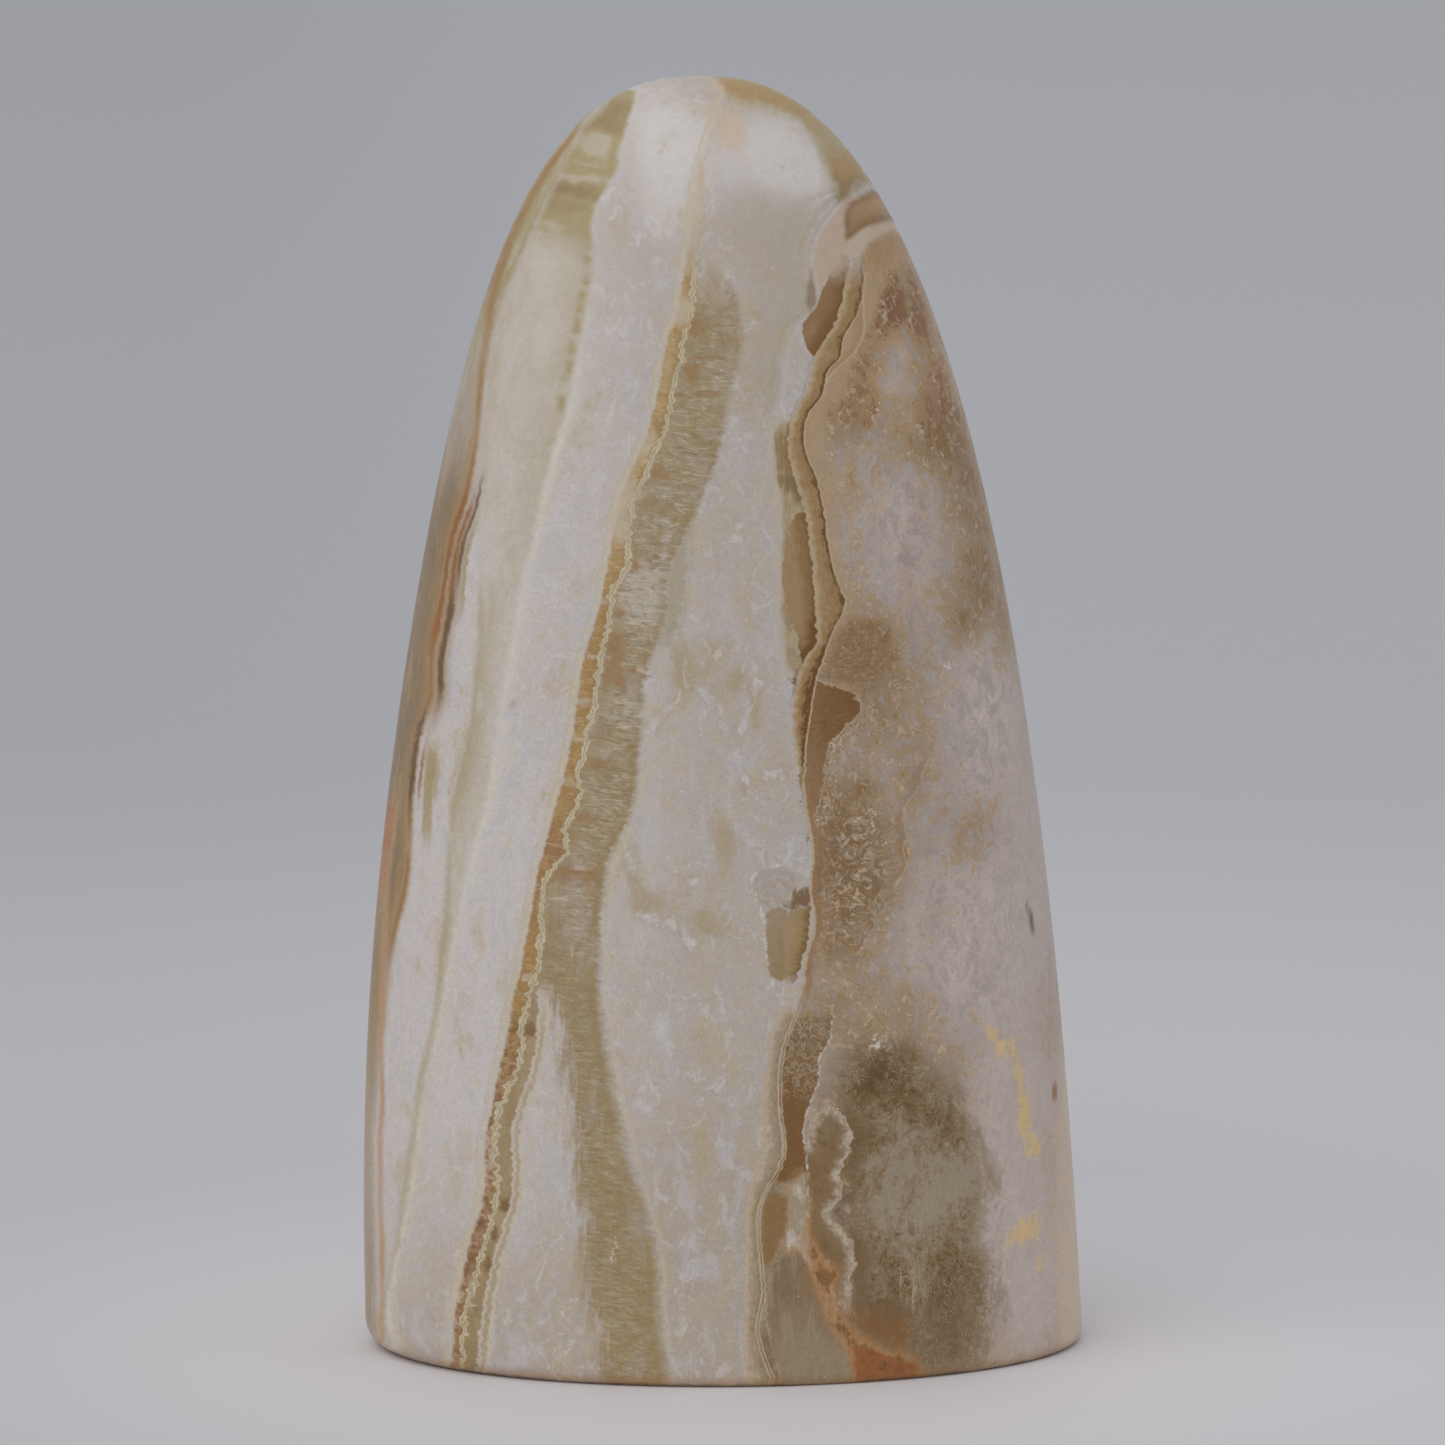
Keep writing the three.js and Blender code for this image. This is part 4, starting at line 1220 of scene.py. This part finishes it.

# What lies over the layers: the olive cap, yellow and red stains, dark streaks, painted white glints,
# an orange line near the foot and painted contact shade along the very bottom.
cap = near("cap", sway(mid, 3))
uneven = add(z, sway(mottle, 6))
olive = coats(
    "cap_gold",
    (uneven, 127.5, 123, 1, "green_olive"),
    (uneven, 123.5, 121.5, 1, "cap_gold"),
    (uneven, 121, 118.5, 1, "cap_brown"),
)
colour = layer(rise(cap, 0.7, -0.9, 0, 0.9), colour, olive)
yellow = add(value("yellow"), sway(mottle, 4), sway(upright, 2))
near_yellow = rise(value("yellow"), 0.12, 0.5, 0, 0.9)
colour = layer(times(rise(yellow, 0.2, 1), near_yellow), colour, "yellow")
colour = layer(rise(value("red_spot"), 0.2, 1, 0, 0.8), colour, "red_orange")
streak = add(value("dark_streak"), sway(mottle, 1))
colour = layer(rise(streak, 0.2, 1.1, 0, 0.8), colour, "grime_and_contact_shade")
colour = layer(times(value("pink_spot"), 0.8), colour, "salmon")
# painted glints: small white spots where inner cleavage planes would catch the light
glint = add(value("painted_glints"), sway(feather, 5), sway(grain, 4))
colour = layer(times(rise(glint, 1, 1.3), rise(value("painted_glints"), 0.1, 0.4), 0.65), colour, "fleck_and_glint")
foot = add(z, sway(mid, 0.8))
colour = layer(times(rise(foot, 1.6, 0.5), 0.35), colour, "orange")
# painted contact shade: dark along the very bottom, where the stone meets the floor
colour = layer(rise(foot, 0.5, 0.1, 0, 0.6), colour, "grime_and_contact_shade")

# A faint speckle over everything.
sharp = rise(level, 118, 85, 0.3, 1)
speck = times(rise(noise(place, 3.4, 2, 0.6), 0.3, 0.7, -0.05, 0.05), sharp)
clouded = times(rise(mottle, 0.35, 0.65, -0.04, 0.04), sharp)
colour = shade(colour, add(speck, clouded, rise(grain, 0.3, 0.7, 0.965, 1.035)))
layers_group.links.new(colour, out["Colour"])


SAW_RADIUS = 260.0  # millimetres


def saw_marks():
    """Faint curved scratches that a diamond blade leaves across a cut."""
    group, place, out = effect("saw_marks", Height="Float", Bright="Float")
    s = Shader(group)
    off = s.put("ShaderNodeVectorMath", {0: place, 1: (0, SAW_RADIUS, 0)}, operation="ADD").outputs[0]
    arc = s.put("ShaderNodeVectorMath", {0: off}, operation="LENGTH").outputs["Value"]
    lane = s.put("ShaderNodeCombineXYZ", {0: arc}).outputs[0]
    scratches = s.noise(lane, 1.3, 4.0, 0.7)
    group.links.new(scratches, out["Height"])
    group.links.new(s.rise(scratches, 0.3, 0.7, 0.93, 1.05), out["Bright"])
    return group


def stone_material(name, group, roughness, relief, sawn=None):
    material = bpy.data.materials.new(name)
    material.use_nodes = True
    material.node_tree.nodes.clear()
    s = Shader(material.node_tree)
    place = s.put("ShaderNodeTexCoord").outputs["Object"]
    millimetres = s.put("ShaderNodeVectorMath", {0: place, "Scale": 1 / mm}, operation="SCALE").outputs[0]
    layers_node = s.put("ShaderNodeGroup", node_tree=group)
    s.links.new(millimetres, layers_node.inputs["Millimetres"])
    colour, surface = layers_node.outputs["Colour"], s.noise(millimetres, 2.5, 3.0)
    rough = s.rise(s.noise(millimetres, 0.8, 3.0), 0.3, 0.7, roughness - 0.05, roughness + 0.08)
    if sawn:
        marks = s.put("ShaderNodeGroup", node_tree=sawn)
        s.links.new(millimetres, marks.inputs["Millimetres"])
        colour, surface = s.shade(colour, marks.outputs["Bright"]), marks.outputs["Height"]
    bump = s.put("ShaderNodeBump", {"Height": surface, "Strength": relief, "Distance": mm * 0.1})
    wires = {"Base Color": colour, "Roughness": rough, "Normal": bump.outputs[0], "IOR": 1.55}
    principled = s.put("ShaderNodeBsdfPrincipled", wires)
    principled.inputs["Specular IOR Level"].default_value = 0.35
    s.put("ShaderNodeOutputMaterial", {"Surface": principled.outputs[0]})
    return material


stone_mesh.materials.append(stone_material("polished_aragonite", layers_group, 0.32, 0.04))
stone_mesh.materials.append(stone_material("sawn_base", layers_group, 0.62, 0.5, saw_marks()))
centres = np.empty(3 * len(stone_mesh.polygons))
stone_mesh.polygons.foreach_get("center", centres)
on_base = centres.reshape(-1, 3)[:, 2] < box_low[2] + 0.02 * mm
stone_mesh.polygons.foreach_set("material_index", on_base.astype(np.int32))
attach(stone, "root")
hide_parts("aragonite_stone")


# ---------------------------------------------------------------- floor
# A plain pale floor under the stone. It is white close by, painted light against the shade round
# the stone, and falls to a cool grey further off, partly the backdrop's own tone and partly painted
# fall-off of the light.

FLOOR_REACH, FLOOR_CORNERS = 6.0, 96
floor_mesh = bpy.data.meshes.new("floor")
ring_angle = np.linspace(0, 2 * np.pi, FLOOR_CORNERS, endpoint=False)
floor_ring = np.stack([np.cos(ring_angle), np.sin(ring_angle), 0 * ring_angle], axis=-1)
floor_mesh.from_pydata((FLOOR_REACH * floor_ring).tolist(), [], [list(range(FLOOR_CORNERS))])
floor = bpy.data.objects.new("floor", floor_mesh)
bpy.context.scene.collection.objects.link(floor)
floor_material = bpy.data.materials.new("pale_floor")
floor_material.use_nodes = True
floor_material.node_tree.nodes.clear()
s = Shader(floor_material.node_tree)
place = s.put("ShaderNodeTexCoord").outputs["Object"]
reach = s.put("ShaderNodeVectorMath", {0: place}, operation="LENGTH").outputs["Value"]
floor_colour = s.layer(s.rise(reach, 0.03, 0.11), paint("e6e3e5"), paint("d3d2d5"))
floor_colour = s.layer(s.rise(reach, 0.1, 0.45), floor_colour, paint("bfc0c3"))
# painted shade and light: a little darker on the left of the stone and lighter on the right
floor_colour = s.shade(floor_colour, s.rise(s.along(place, (1.0, 0.0, 0.0)), -0.08, 0.08, 0.965, 1.045))
principled = s.put("ShaderNodeBsdfPrincipled", {"Base Color": floor_colour, "Roughness": 0.9})
s.put("ShaderNodeOutputMaterial", {"Surface": principled.outputs[0]})
floor_mesh.materials.append(floor_material)


# ---------------------------------------------------------------- light and camera
# Soft light from a large panel above and to the left, with an even pale
# surround, and a long lens a little above the stone's middle.

def lamp(name, place, aim, width, power, tint):
    data = bpy.data.lights.new(name, "AREA")
    data.shape, data.size, data.size_y = "RECTANGLE", width, width
    data.energy, data.color = power, tint
    ob = bpy.data.objects.new(name, data)
    bpy.context.scene.collection.objects.link(ob)
    ob.location = place
    ob.rotation_euler = (Vector(aim) - Vector(place)).to_track_quat("-Z", "Y").to_euler()


middle = (0, 0, 0.065)
lamp("overhead_left", (-2.0, -2.2, 3.0), middle, 5.0, 58.0, (1.0, 0.985, 0.965))
world = bpy.data.worlds.new("studio")
bpy.context.scene.world = world
world.use_nodes = True
world.node_tree.nodes["Background"].inputs["Color"].default_value = (0.95, 0.96, 1.0, 1.0)
world.node_tree.nodes["Background"].inputs["Strength"].default_value = 0.57

CAMERA_AWAY, VIEW_WIDTH = 900, 147.34  # millimetres: to the stone's middle, and across the view there
camera_data = bpy.data.cameras.new("camera")
camera_data.sensor_width = 36
camera_data.lens = 36 * CAMERA_AWAY / VIEW_WIDTH
camera = bpy.data.objects.new("camera", camera_data)
bpy.context.scene.collection.objects.link(camera)
aim = Vector((-0.11, 0, 64.25)) * mm
above, turn = math.radians(8.18), math.radians(-3.06)
towards = Vector((math.sin(turn) * math.cos(above), -math.cos(turn) * math.cos(above), math.sin(above)))
camera.location = aim + towards * CAMERA_AWAY * mm
camera.rotation_euler = (-towards).to_track_quat("-Z", "Y").to_euler()
bpy.context.scene.camera = camera
bpy.context.scene.view_settings.view_transform = "Standard"
